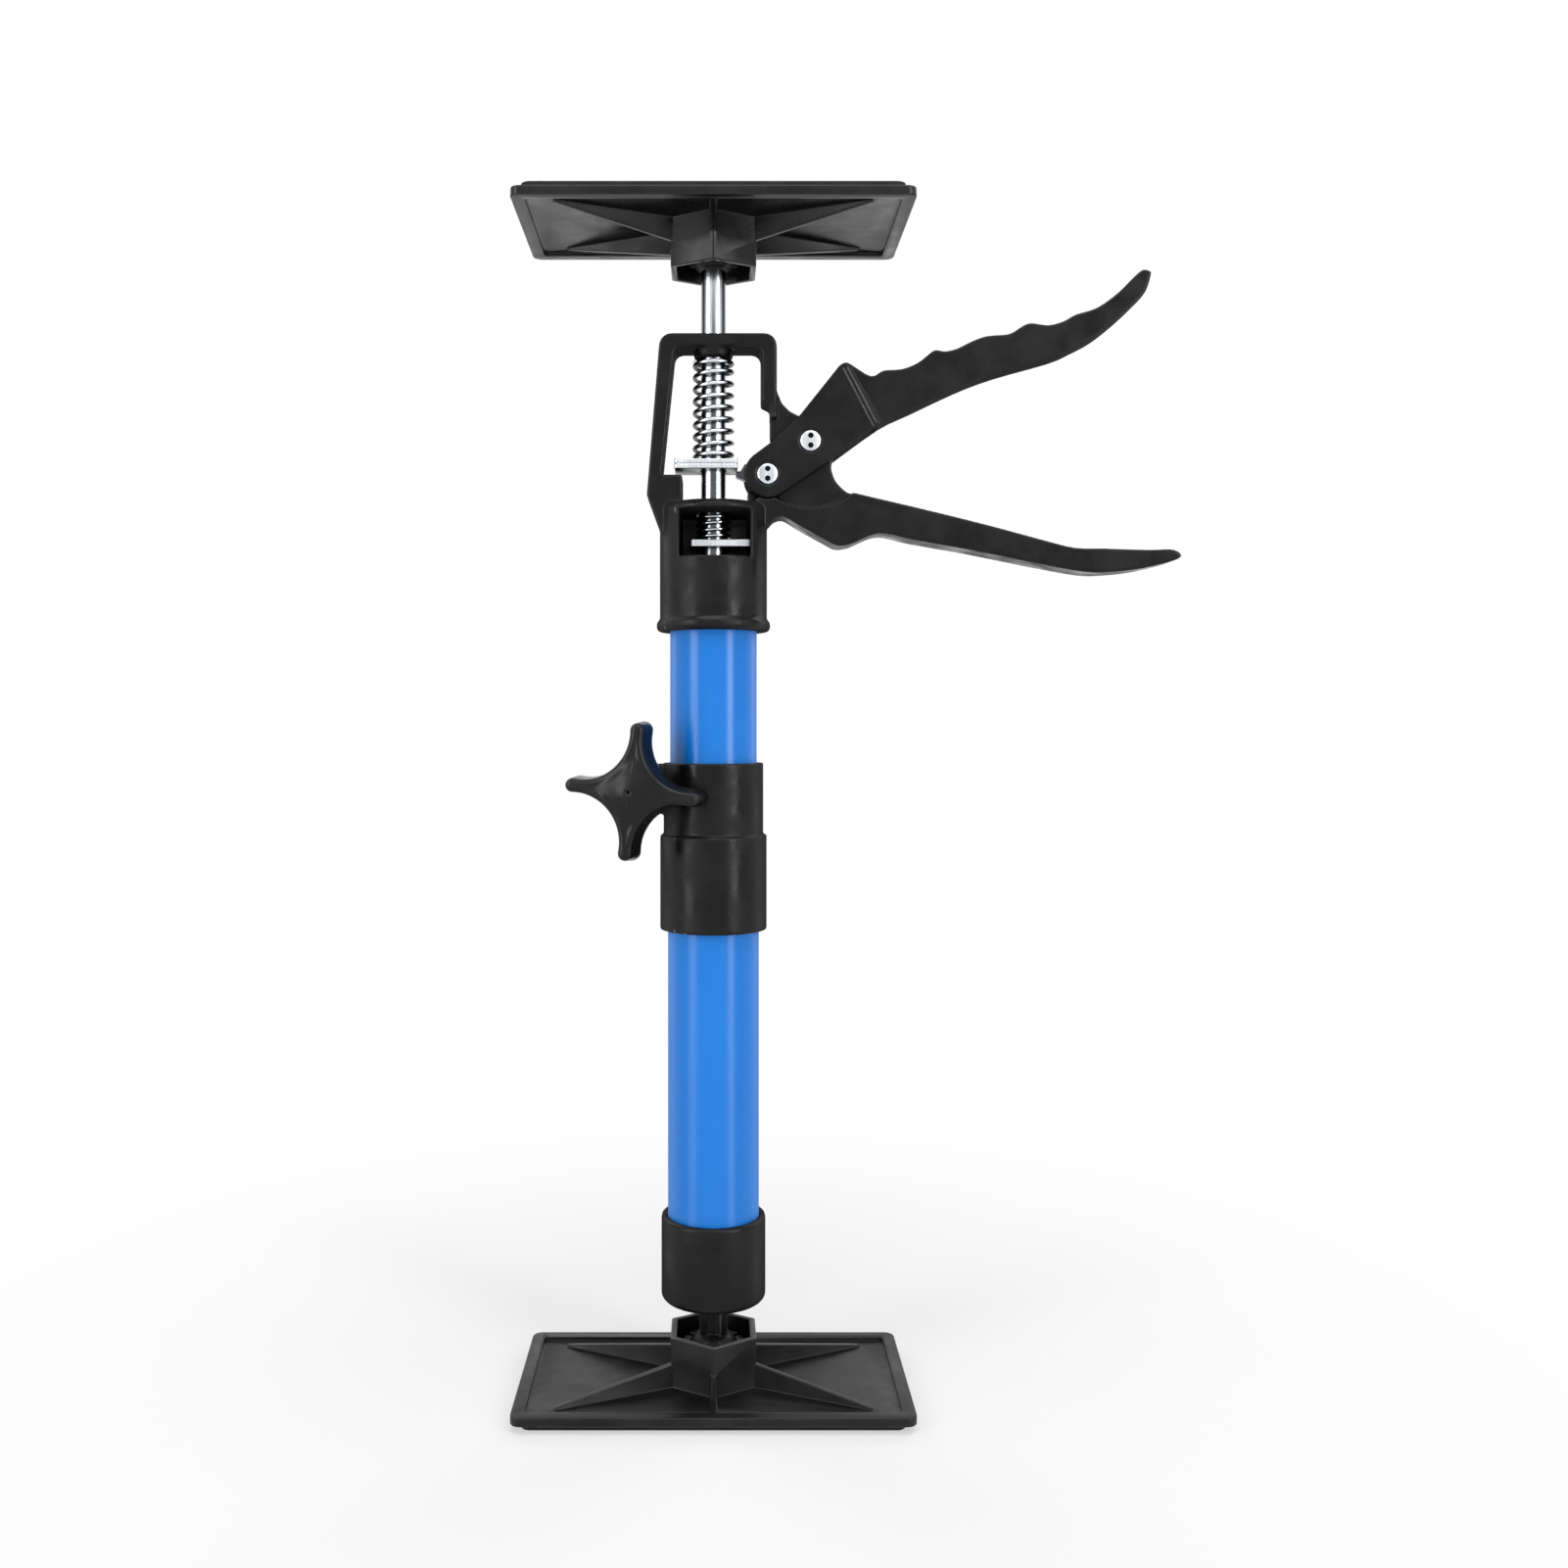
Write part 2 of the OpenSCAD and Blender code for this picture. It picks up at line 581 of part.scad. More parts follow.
// Frame over the sleeve: a left post that leans, a top bar and a right post that ends above the nose
module frame_outline() {
    top = frame_top_z;
    r_out = post_w * 0.85;
    r_in = post_w * 0.6;
    left_out = open_left + post_w;
    right_out = open_right + post_w;
    shoulder = left_out + post_lean;
    lip = post_w * 0.6;
    polygon(concat(
        [[right_out, post_foot_z]],
        arc([right_out - r_out, top - r_out], r_out, 0, 90, 6),
        arc([-left_out + r_out, top - r_out], r_out, 90, 180, 6),
        [[-shoulder, deck_z + ledge_up * 0.28], [-sleeve_d / 2 + bead_h / 8, deck_z - window_h * 0.64],
         [-ledge_x, deck_z - window_h * 0.64], [-ledge_x, deck_z + ledge_up],
         [-open_left - post_lean, deck_z + ledge_up]],
        arc([-open_left + r_in, top - top_bar - r_in], r_in, 180, 90, 6),
        arc([open_right - r_in, top - top_bar - r_in], r_in, 90, 0, 6),
        [[open_right, step_z], [open_right + lip, step_z - lip / 2], [open_right + lip, post_foot_z]]));
}

module head_body() {
    bead_r = bead_h * 0.4;
    sleeve_r = sleeve_d / 2;
    color("#2b2b2e") difference() {
        union() {
            rotate_extrude() polygon(concat(
                [[0, head_z]], arc([bead_d / 2 - bead_r, head_z + bead_r], bead_r, -90, 0, 6),
                arc([bead_d / 2 - bead_r, head_z + bead_h - bead_r], bead_r, 0, 60, 4),
                [[sleeve_r, head_z + bead_h], [sleeve_r, head_z + bead_h * 1.3],
                 [sleeve_r - groove_t, head_z + bead_h * 1.38], [sleeve_r, head_z + bead_h * 1.46],
                 [sleeve_r, deck_z - bead_r], [sleeve_r - bead_r, deck_z], [0, deck_z]]));
            side_plate(frame_depth) frame_outline();
            translate([0, 0, frame_top_z - top_bar - spring_boss_h])
                cylinder(h = spring_boss_h + top_bar / 2, d1 = drive_spring_d - drive_wire, d2 = frame_depth);
            translate([pivot_x, 0, pivot_z]) {
                side_plate(web_t) polygon(scaled(web_shares, [pivot_x, pivot_up]));
                side_plate(web_t) handle_outline();
                difference() {
                    side_plate(handle_t) handle_outline();
                    cross_bar([0, 0], cheek_sweep_r * 2, handle_t + over);
                    cross_bar(nose_at, (nose_r + cheek_gap) * 2, handle_t + over);
                }
            }
        }
        translate([0, 0, head_z - over]) cylinder(h = socket_len + over, d = upper_d + run_gap * 2);
        translate([0, 0, head_z]) cylinder(h = frame_h * 2, d = rod_d + run_gap * 2);
        translate([window_x - window_w / 2, -bead_d, window_z])
            cube([window_w, bead_d + sleeve_d / 4, window_h]);
        translate([window_right - over, -lock_plate_w / 2 - seat_gap, lock_plate_z - seat_gap])
            cube([lock_seat + over, lock_plate_w + seat_gap * 2, lock_plate_t + seat_gap * 3]);
        cross_bar([pivot_x, pivot_z], rivet_d + run_gap * 2, bead_d);
    }
}

// Trigger: two cheeks that straddle the web, and a finger-grooved grip past the ridge
module trigger() {
    ridge = scaled(ridge_shares, trigger_size);
    along = unit(ridge[1] - ridge[0]);
    across = [-along[1], along[0]] * -1;
    reach = trigger_reach * 2;
    a = ridge[0] - along * trigger_rise;
    b = ridge[1] + along * trigger_rise;
    color("#2b2b2e") translate([pivot_x, 0, pivot_z]) difference() {
        side_plate(trigger_w) trigger_outline();
        side_plate(cheek_y * 2) polygon([a + across * slot_back, b + across * slot_back, b + across * reach,
                                         a + across * reach]);
        for (side = [-1, 1]) {
            translate([0, side * (grip_t / 2 + trigger_w / 2), 0]) side_plate(trigger_w)
                polygon([a, b, b - across * reach, a - across * reach]);
            for (at = [[0, 0], nose_at])
                translate([0, side * (trigger_w / 2 - rivet_head_h / 2 + over / 2), 0])
                    cross_bar(at, rivet_head_d + over, rivet_head_h + over);
        }
        cross_bar([0, 0], rivet_d + run_gap * 2, trigger_w + over);
        cross_bar(nose_at, rivet_d + run_gap * 2, trigger_w + over);
    }
}

// A rivet along Y with a flat round head on each cheek
module rivet(at) {
    head_y = trigger_w / 2 - rivet_head_h + run_gap;
    color("#c9ccd1") translate([pivot_x, 0, pivot_z]) difference() {
        union() {
            cross_bar(at, rivet_d, head_y * 2 + run_gap);
            for (side = [-1, 1])
                translate([0, side * (head_y + rivet_head_h * 0.8), 0])
                    cross_bar(at, rivet_head_d, rivet_head_h * 1.6);
        }
        for (side = [-1, 1]) for (up = [-1, 1])
            translate([0, side * (head_y + rivet_head_h * 2), 0])
                cross_bar(at + [0, up * rivet_head_d / 4], rivet_head_d / 6, rivet_head_h * 2);
    }
}

module pivot_rivet() {
    rivet([0, 0]);
}

module nose_rivet() {
    rivet(nose_at);
}

module drive_pawl() {
    pawl_w = web_t - cheek_gap * 2;
    color("#9a9da3") translate([pivot_x, 0, pivot_z]) difference() {
        union() {
            cross_bar(nose_at, rivet_d * 2, pawl_w);
            side_plate(pawl_w) polygon(scaled(pawl_shares, [nose_r, nose_r]));
        }
        cross_bar(nose_at, rivet_d + run_gap * 2, trigger_w);
    }
}

// Clutch plates: flat steel with a hole for the rod
module clutch_plate(z, left, right, width, thick) {
    color("#c3c8d0") difference() {
        translate([(right - left) / 2, 0, z]) round_plate([left + right, width], thick, thick / 2);
        translate([0, 0, z - over]) cylinder(h = thick + over * 2, d = rod_d + plate_hole_gap * 2);
    }
}

module drive_plate_lower() {
    clutch_plate(drive_plate_z, drive_plate_left, drive_plate_right, drive_plate_w, drive_plate_t);
}

module drive_plate_upper() {
    clutch_plate(drive_plate_z + drive_plate_t, drive_plate_left, drive_plate_right, drive_plate_w,
                 drive_plate_t);
}

module lock_plate() {
    clutch_plate(lock_plate_z, lock_plate_left, window_right + lock_seat - seat_gap, lock_plate_w,
                 lock_plate_t);
}

// A compression spring: one round wire swept along a helix, its two ends straight up and down
rings_per_curl = 8;
wire_sides = 6;

function spring_path(z, height, d, wire, curls) = let (r = (d - wire) / 2, n = curls * rings_per_curl)
    concat([[r, 0, z]], [for (i = [0:n]) let (a = i * 360 / rings_per_curl)
        [r * cos(a), r * sin(a), z + wire + (height - wire * 2) * i / n]],
        [let (a = n * 360 / rings_per_curl) [r * cos(a), r * sin(a), z + height]]);

function ring_at(path, i, wire) = let (
    last = len(path) - 1,
    t = i == 0 || i == last ? [0, 0, 1] : unit(path[i + 1] - path[i - 1]),
    out = unit([path[i][0], path[i][1], 0]),
    side = unit(cross(t, out)),
    up = cross(side, t))
    [for (k = [0:wire_sides - 1]) let (a = k * 360 / wire_sides)
        path[i] + (up * cos(a) + side * sin(a)) * wire / 2];

function near_gap(path, wire, skip) = min([for (i = [0:len(path) - 1]) for (k = [i + skip:1:len(path) - 1])
    norm(path[i] - path[k])]) - wire;

module spring(z, height, d, wire, curls) {
    path = spring_path(z, height, d, wire, curls);
    last = len(path) - 1;
    n = wire_sides;
    echo(least_gap = near_gap(path, wire, rings_per_curl - 2));
    points = [for (i = [0:last]) each ring_at(path, i, wire)];
    walls = [for (i = [0:last - 1]) for (k = [0:n - 1]) let (a = i * n + k, b = i * n + (k + 1) % n)
        each [[a, a + n, b], [b, a + n, b + n]]];
    foot = [for (k = [1:n - 2]) [0, k, k + 1]];
    head = [for (k = [1:n - 2]) [last * n, last * n + k + 1, last * n + k]];
    color("#d3d6db") polyhedron(points, concat(walls, foot, head));
}

module drive_spring() {
    spring(drive_spring_z + run_gap, frame_top_z - top_bar - spring_boss_h - drive_spring_z - run_gap * 2,
           drive_spring_d, drive_wire, drive_curls);
}

module lock_spring() {
    spring(lock_plate_z + lock_plate_t + run_gap, bridge_z - lock_plate_z - lock_plate_t - run_gap * 2,
           lock_spring_d, lock_wire, lock_curls);
}

// Push rod with its stop bush and the ball that carries the upper pad
module push_rod() {
    top = top_ball_z + ball_d / 6;
    color("#d0d3d8") translate([0, 0, rod_z]) cylinder(h = top - rod_z, d = rod_d);
}

module rod_stop() {
    color("#8f9299") difference() {
        translate([0, 0, stop_z]) cylinder(h = stop_h, d = stop_d);
        translate([0, 0, stop_z - over]) cylinder(h = stop_h + over * 2, d = rod_d + run_gap * 2);
    }
}

module rod_ball() {
    color("#222225") difference() {
        translate([0, 0, top_ball_z]) sphere(d = ball_d);
        translate([0, 0, top_ball_z - ball_d])
            cylinder(h = ball_d + ball_d / 6 + run_gap, d = rod_d + run_gap * 2);
    }
}

foot_mat();
foot_pad();
foot_ball_stud();
base_cap();
lower_tube();
clamp_collar();
clamp_nut();
clamp_knob();
clamp_bolt();
clamp_washer();
upper_tube();
head_body();
trigger();
pivot_rivet();
nose_rivet();
drive_pawl();
drive_plate_lower();
drive_plate_upper();
drive_spring();
lock_plate();
lock_spring();
push_rod();
rod_stop();
rod_ball();
top_pad();
top_mat();
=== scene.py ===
import json
from math import atan2, cos, degrees, exp, pi, radians, sin, sqrt

import bmesh
import bpy
from mathutils import Matrix, Vector

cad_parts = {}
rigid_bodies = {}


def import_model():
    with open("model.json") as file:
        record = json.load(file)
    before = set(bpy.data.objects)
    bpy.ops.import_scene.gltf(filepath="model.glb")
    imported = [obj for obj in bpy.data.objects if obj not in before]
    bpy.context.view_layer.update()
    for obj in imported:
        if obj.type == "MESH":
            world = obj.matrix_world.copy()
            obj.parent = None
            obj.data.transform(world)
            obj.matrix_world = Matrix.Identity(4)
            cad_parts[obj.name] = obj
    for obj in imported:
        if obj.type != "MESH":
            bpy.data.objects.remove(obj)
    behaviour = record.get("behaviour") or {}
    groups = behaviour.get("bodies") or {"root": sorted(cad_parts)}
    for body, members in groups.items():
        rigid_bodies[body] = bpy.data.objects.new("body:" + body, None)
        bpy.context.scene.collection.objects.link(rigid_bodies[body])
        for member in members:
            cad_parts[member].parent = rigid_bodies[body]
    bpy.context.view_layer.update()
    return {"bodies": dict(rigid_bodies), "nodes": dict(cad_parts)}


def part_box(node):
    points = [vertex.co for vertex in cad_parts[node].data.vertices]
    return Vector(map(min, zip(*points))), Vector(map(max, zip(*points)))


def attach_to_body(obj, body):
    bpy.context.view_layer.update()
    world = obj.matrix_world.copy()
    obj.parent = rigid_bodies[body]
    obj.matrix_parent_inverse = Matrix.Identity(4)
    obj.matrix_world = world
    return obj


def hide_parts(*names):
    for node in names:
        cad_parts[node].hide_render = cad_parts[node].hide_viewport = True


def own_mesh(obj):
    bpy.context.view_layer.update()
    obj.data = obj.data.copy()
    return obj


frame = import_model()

MM = 0.001
TO_METRES = Matrix.Scale(MM, 4)

# The clamp's bolt and its star knob, in millimetres and degrees, as the frame has them
BOLT_OFF = 18.6
BOLT_Z = 184.8
CLAMP_TURN = 13.5
KNOB_LEAN = 6
KNOB_BACK = 17.4
KNOB_T = 13.0
KNOB_D = 41.0
KNOB_TIP_D = 4.4
KNOB_WAIST = 18.0
KNOB_BRIM = 1.5
BOSS_R = 5.6
BOSS_END = 9.4

# The rivets and the ridge on the trigger, in millimetres
RIVET_HEAD_D = 6.2
RIVET_HEAD_T = 0.8
RIVET_SHANK_R = 2.0
DIMPLE_R = 0.86
DIMPLE_DEEP = 0.55
DIMPLE_OFF = 0.48
TRIGGER_W = 12.6
RIDGE = ((39.2, 313.4), (48.8, 295.0))
BEAD_R = 0.34
BEAD_SUNK = 0.16

# Limits of the mesh work: distances in metres, angles in degrees
SAME_CORNER = 0.000004
SAME_WIRE_CORNER = 0.0000005
SHORTEST_EDGE = 0.00008
FLAT_ANGLE = 0.5
BEVEL_ANGLE = 35.0

# Sockets of the Mix node for values and for colours: first, second, result
MIX_SOCKETS = {"FLOAT": (2, 3, 0), "RGBA": (6, 7, 2)}
VECTOR = "NodeSocketVector"
VALUE = "NodeSocketFloat"
COLOUR = "NodeSocketColor"


# Colours and nodes

def paint(r, g, b):
    """A colour as it is seen, 0 to 255, turned into the shader's own linear values."""
    def one(c):
        c /= 255.0
        return c / 12.92 if c <= 0.04045 else ((c + 0.055) / 1.055) ** 2.4
    return (one(r), one(g), one(b), 1.0)


def feed(tree, value, socket):
    """An input gets a link from another socket, or a plain value of its own."""
    if isinstance(value, (int, float, tuple)):
        socket.default_value = value
    else:
        tree.links.new(value, socket)


def math_node(tree, operation, a, b=None):
    """A Math node whose inputs are sockets or plain numbers."""
    node = tree.nodes.new("ShaderNodeMath")
    node.operation = operation
    feed(tree, a, node.inputs[0])
    if b is not None:
        feed(tree, b, node.inputs[1])
    return node.outputs[0]


def weighted(tree, a, b, share):
    """The sum of two values, the first by its share and the second by the rest."""
    first = math_node(tree, "MULTIPLY", a, share)
    rest = math_node(tree, "MULTIPLY", b, 1 - share)
    return math_node(tree, "ADD", first, rest)


def noise(tree, vector, scale, detail, rough):
    """A Noise node on a vector; its scale is a number or a socket."""
    node = tree.nodes.new("ShaderNodeTexNoise")
    tree.links.new(vector, node.inputs["Vector"])
    feed(tree, scale, node.inputs["Scale"])
    node.inputs["Detail"].default_value = detail
    node.inputs["Roughness"].default_value = rough
    return node.outputs["Fac"]


def spread(tree, value, low, high, to_low=0.0, to_high=1.0):
    """Map Range with a clamp, from low..high to to_low..to_high."""
    node = tree.nodes.new("ShaderNodeMapRange")
    node.clamp = True
    feed(tree, value, node.inputs["Value"])
    for label, number in (("From Min", low), ("From Max", high), ("To Min", to_low), ("To Max", to_high)):
        feed(tree, number, node.inputs[label])
    return node.outputs["Result"]


def mix(tree, share, low, high, kind="RGBA", blend="MIX"):
    """A Mix node that goes from low to high by a share: RGBA for colours, FLOAT for values."""
    first, second, result = MIX_SOCKETS[kind]
    node = tree.nodes.new("ShaderNodeMix")
    node.data_type = kind
    node.blend_type = blend
    feed(tree, share, node.inputs[0])
    feed(tree, low, node.inputs[first])
    feed(tree, high, node.inputs[second])
    return node.outputs[result]


# Shader groups

def skin_group(name, inputs):
    """A shader node group on a Vector and other named inputs; it gives a colour, a roughness and a height."""
    tree = bpy.data.node_groups.new(name, "ShaderNodeTree")
    tree.interface.new_socket(name="Vector", in_out="INPUT", socket_type=VECTOR)
    for label, kind, value in inputs:
        tree.interface.new_socket(name=label, in_out="INPUT", socket_type=kind).default_value = value
    for label, kind in (("Color", COLOUR), ("Roughness", VALUE), ("Height", VALUE)):
        tree.interface.new_socket(name=label, in_out="OUTPUT", socket_type=kind)
    return tree, tree.nodes.new("NodeGroupInput").outputs, tree.nodes.new("NodeGroupOutput").inputs


def moulded_skin_group():
    """Skin of moulded plastic or rubber: fine grain, a satin that changes with flow marks, painted edge
    highlights.
    """
    tree, given, result = skin_group(
        "Moulded skin",
        [("Grain per metre", VALUE, 2400.0), ("Flow per metre", VALUE, 90.0),
         ("Dark", COLOUR, (0.01, 0.01, 0.01, 1)), ("Light", COLOUR, (0.03, 0.03, 0.03, 1)),
         ("Smoothest", VALUE, 0.35), ("Roughest", VALUE, 0.5),
         ("Painted edge highlight", VALUE, 0.0), ("Worn edge", COLOUR, (0.05, 0.05, 0.05, 1))])
    grain = noise(tree, given["Vector"], given["Grain per metre"], 2.0, 0.6)
    flow = noise(tree, given["Vector"], given["Flow per metre"], 3.0, 0.55)
    mottle = spread(tree, weighted(tree, grain, flow, 0.35), 0.34, 0.66)
    # Edges lighter by pointiness, patchy with the flow marks: a painted highlight
    edge_highlight = math_node(tree, "MULTIPLY", given["Painted edge highlight"], spread(tree, flow, 0.3, 0.6, 0.4, 1.0))
    colour = mix(tree, mottle, given["Dark"], given["Light"])
    tree.links.new(mix(tree, edge_highlight, colour, given["Worn edge"]), result["Color"])
    satin = spread(tree, flow, 0.35, 0.65, given["Smoothest"], given["Roughest"])
    tree.links.new(satin, result["Roughness"])
    tree.links.new(grain, result["Height"])
    return tree


def drawn_metal_group():
    """Bright steel: fine lines along one direction and faint clouds of the plating."""
    tree, given, result = skin_group(
        "Drawn metal",
        [("Lines per metre", VALUE, 3000.0),
         ("Dull", COLOUR, (0.4, 0.4, 0.4, 1)), ("Bright", COLOUR, (0.8, 0.8, 0.8, 1)),
         ("Smoothest", VALUE, 0.18), ("Roughest", VALUE, 0.36)])
    clouds_per_metre = 160.0
    lines = noise(tree, given["Vector"], given["Lines per metre"], 2.0, 0.55)
    clouds = noise(tree, given["Vector"], clouds_per_metre, 3.0, 0.6)
    shine = spread(tree, weighted(tree, lines, clouds, 0.5), 0.3, 0.62)
    tree.links.new(mix(tree, shine, given["Dull"], given["Bright"]), result["Color"])
    gloss = spread(tree, clouds, 0.3, 0.7, given["Smoothest"], given["Roughest"])
    tree.links.new(gloss, result["Roughness"])
    tree.links.new(lines, result["Height"])
    return tree


MOULDED_SKIN = moulded_skin_group()
DRAWN_METAL = drawn_metal_group()


# Finishes

# Facing range of the dark middle: a painted reflection of a dark room
FACES_THE_EYE = (0.052, 0.032)
FINISH = {}


def finish(name, group, values, stretch=(1.0, 1.0, 1.0), bump=0.1, depth=0.0001, painted_dark_rim=None, middle=None,
           edge_highlight=None, dull_rim=None, polished_past=None, grain_along_z=False, **sockets):
    """A material, filed under its name: one shader group on Object coordinates feeds a Principled shader.

    A painted dark rim is (start, end, shade): the colour falls to that share of itself as the surface turns
    away, a painted dark reflection at the edges.
    A middle is the share of the colour kept where the surface faces the eye: a painted reflection of a dark
    room.
    A dull rim is (start, end, roughness): the gloss fades to that roughness as the surface turns away.
    Polished past is the range of X, in metres, over which the dull rim ends: hands rub a handle smooth.
    Edge highlight is the range of pointiness over which a moulded edge turns to its lighter colour: a painted
    highlight.
    Grain along Z gives an anisotropic gloss its direction on tubes that stand upright.
    """
    mat = bpy.data.materials.new(name)
    mat.use_nodes = True
    tree = mat.node_tree
    tree.nodes.clear()
    link = tree.links.new
    out = tree.nodes.new("ShaderNodeOutputMaterial")
    shader = tree.nodes.new("ShaderNodeBsdfPrincipled")
    link(shader.outputs["BSDF"], out.inputs["Surface"])
    where = tree.nodes.new("ShaderNodeTexCoord")
    mapping = tree.nodes.new("ShaderNodeMapping")
    mapping.inputs["Scale"].default_value = stretch
    link(where.outputs["Object"], mapping.inputs["Vector"])
    skin = tree.nodes.new("ShaderNodeGroup")
    skin.node_tree = group
    link(mapping.outputs["Vector"], skin.inputs["Vector"])
    for label, value in values.items():
        skin.inputs[label].default_value = value
    # Painted highlight on sharp edges, found by pointiness
    if edge_highlight:
        shape = tree.nodes.new("ShaderNodeNewGeometry")
        link(spread(tree, shape.outputs["Pointiness"], *edge_highlight), skin.inputs["Painted edge highlight"])

    layer = tree.nodes.new("ShaderNodeLayerWeight")
    layer.inputs["Blend"].default_value = 0.5
    turned_away = layer.outputs["Facing"]
    colour = skin.outputs["Color"]
    # The painted dark rim: colour darkened towards the edges, a painted reflection of dark surroundings
    painted_shades = [painted_dark_rim] if painted_dark_rim else []
    # The dark middle: a painted reflection of a dark room where the surface faces the eye
    if middle:
        painted_shades.append((*FACES_THE_EYE, middle))
    # Each painted shade multiplies the colour: painted dark reflections, not the metal's own colour
    for start, end, shade in painted_shades:
        share = spread(tree, turned_away, start, end)
        colour = mix(tree, share, colour, (shade, shade, shade, 1), blend="MULTIPLY")
    link(colour, shader.inputs["Base Color"])

    roughness = skin.outputs["Roughness"]
    if dull_rim:
        start, end, dull = dull_rim
        share = spread(tree, turned_away, start, end)
        if polished_past:
            place = tree.nodes.new("ShaderNodeSeparateXYZ")
            link(where.outputs["Object"], place.inputs[0])
            unrubbed = spread(tree, place.outputs["X"], *polished_past, 1.0, 0.0)
            share = math_node(tree, "MULTIPLY", share, unrubbed)
        roughness = mix(tree, share, roughness, dull, kind="FLOAT")
    link(roughness, shader.inputs["Roughness"])

    relief = tree.nodes.new("ShaderNodeBump")
    relief.inputs["Strength"].default_value = bump
    relief.inputs["Distance"].default_value = depth
    link(skin.outputs["Height"], relief.inputs["Height"])
    link(relief.outputs["Normal"], shader.inputs["Normal"])
    if grain_along_z:
        around = tree.nodes.new("ShaderNodeTangent")
        around.direction_type = "RADIAL"
        around.axis = "Z"
        link(around.outputs["Tangent"], shader.inputs["Tangent"])
    for label, value in sockets.items():
        shader.inputs[label.replace("_", " ")].default_value = value
    FINISH[name] = mat


PLASTIC = {"Grain per metre": 1900.0, "Flow per metre": 110.0, "Dark": paint(8, 8, 9),
           "Light": paint(18, 18, 19), "Worn edge": paint(92, 92, 94)}
SATIN = {**PLASTIC, "Smoothest": 0.2, "Roughest": 0.52}
ZINC = {"Lines per metre": 2600.0, "Dull": paint(176, 180, 186), "Bright": paint(232, 236, 241)}
# Pointiness over which moulded edges take the painted highlight
EDGE_HIGHLIGHT = (0.53, 0.64)
DULL_SIDES = (0.4, 0.8, 1.0)
HANDLE_BEGINS = (0.017, 0.024)
DRAWN_ALONG_Z = (1.0, 1.0, 0.08)

finish("black_plastic", MOULDED_SKIN, SATIN,
       bump=0.18, edge_highlight=EDGE_HIGHLIGHT, dull_rim=DULL_SIDES, Specular_IOR_Level=0.2)
finish("head_plastic", MOULDED_SKIN, SATIN,
       bump=0.18, edge_highlight=EDGE_HIGHLIGHT, dull_rim=DULL_SIDES, polished_past=HANDLE_BEGINS, Specular_IOR_Level=0.2)
finish("pad_plastic", MOULDED_SKIN, {**PLASTIC, "Smoothest": 0.3, "Roughest": 0.46},
       bump=0.16, edge_highlight=EDGE_HIGHLIGHT, Specular_IOR_Level=0.22)
finish("glossy_plastic", MOULDED_SKIN,
       {**PLASTIC, "Smoothest": 0.2, "Roughest": 0.34, "Worn edge": paint(84, 84, 86)},
       bump=0.14, edge_highlight=EDGE_HIGHLIGHT, Specular_IOR_Level=0.25)
# A lighter plastic for the trigger's beads: a painted highlight on the ridge
finish("painted_highlight_plastic", MOULDED_SKIN,
       {"Grain per metre": 2600.0, "Flow per metre": 300.0, "Dark": paint(46, 46, 48),
        "Light": paint(88, 88, 90), "Smoothest": 0.3, "Roughest": 0.5},
       bump=0.2, Specular_IOR_Level=0.3)
finish("mat_rubber", MOULDED_SKIN,
       {"Grain per metre": 1500.0, "Flow per metre": 120.0, "Dark": paint(20, 20, 21),
        "Light": paint(36, 36, 38), "Smoothest": 0.66, "Roughest": 0.85},
       bump=0.45, depth=0.0002, Specular_IOR_Level=0.25)
finish("blue_paint", MOULDED_SKIN,
       {"Grain per metre": 900.0, "Flow per metre": 45.0, "Dark": paint(4, 115, 208),
        "Light": paint(9, 122, 215), "Smoothest": 0.3, "Roughest": 0.36},
       bump=0.02, depth=0.00005, dull_rim=(0.5, 0.85, 0.8), grain_along_z=True,
       Specular_IOR_Level=0.45, Anisotropic=0.9, Anisotropic_Rotation=0.25)
# Zinc, rod and spring steel get a painted dark rim: painted reflections of dark surroundings at their edges
finish("zinc_steel", DRAWN_METAL, {**ZINC, "Smoothest": 0.2, "Roughest": 0.36},
       stretch=DRAWN_ALONG_Z, bump=0.08, depth=0.00006, painted_dark_rim=(0.32, 0.56, 0.1), Metallic=1.0)
# The rod's dark middle is a painted reflection of a dark room
finish("rod_steel", DRAWN_METAL, {**ZINC, "Smoothest": 0.16, "Roughest": 0.28},
       stretch=DRAWN_ALONG_Z, bump=0.08, depth=0.00006, painted_dark_rim=(0.2, 0.36, 0.05), middle=0.15, Metallic=1.0)
finish("spring_steel", DRAWN_METAL,
       {"Lines per metre": 3200.0, "Dull": paint(190, 194, 200), "Bright": paint(238, 241, 245),
        "Smoothest": 0.16, "Roughest": 0.3},
       bump=0.05, depth=0.00005, painted_dark_rim=(0.1, 0.4, 0.05), Metallic=1.0)
finish("dark_steel", DRAWN_METAL,
       {"Lines per metre": 2000.0, "Dull": paint(50, 51, 54), "Bright": paint(86, 88, 92),
        "Smoothest": 0.3, "Roughest": 0.5},
       bump=0.12, depth=0.00008, Metallic=1.0)
# A near-black metal for discs on the rivets' dimple floors: painted shade in the recesses
finish("dimple_shade_steel", DRAWN_METAL,
       {"Lines per metre": 2000.0, "Dull": paint(14, 14, 15), "Bright": paint(30, 30, 32),
        "Smoothest": 0.5, "Roughest": 0.7},
       depth=0.00006, Metallic=1.0)

# Nodes whose finish isn't the one that is named after their slot
OWN_FINISH = {"head_body": "head_plastic", "clamp_knob": "glossy_plastic", "foot_pad": "pad_plastic",
              "top_pad": "glossy_plastic", "push_rod": "rod_steel"}


# Mesh helpers

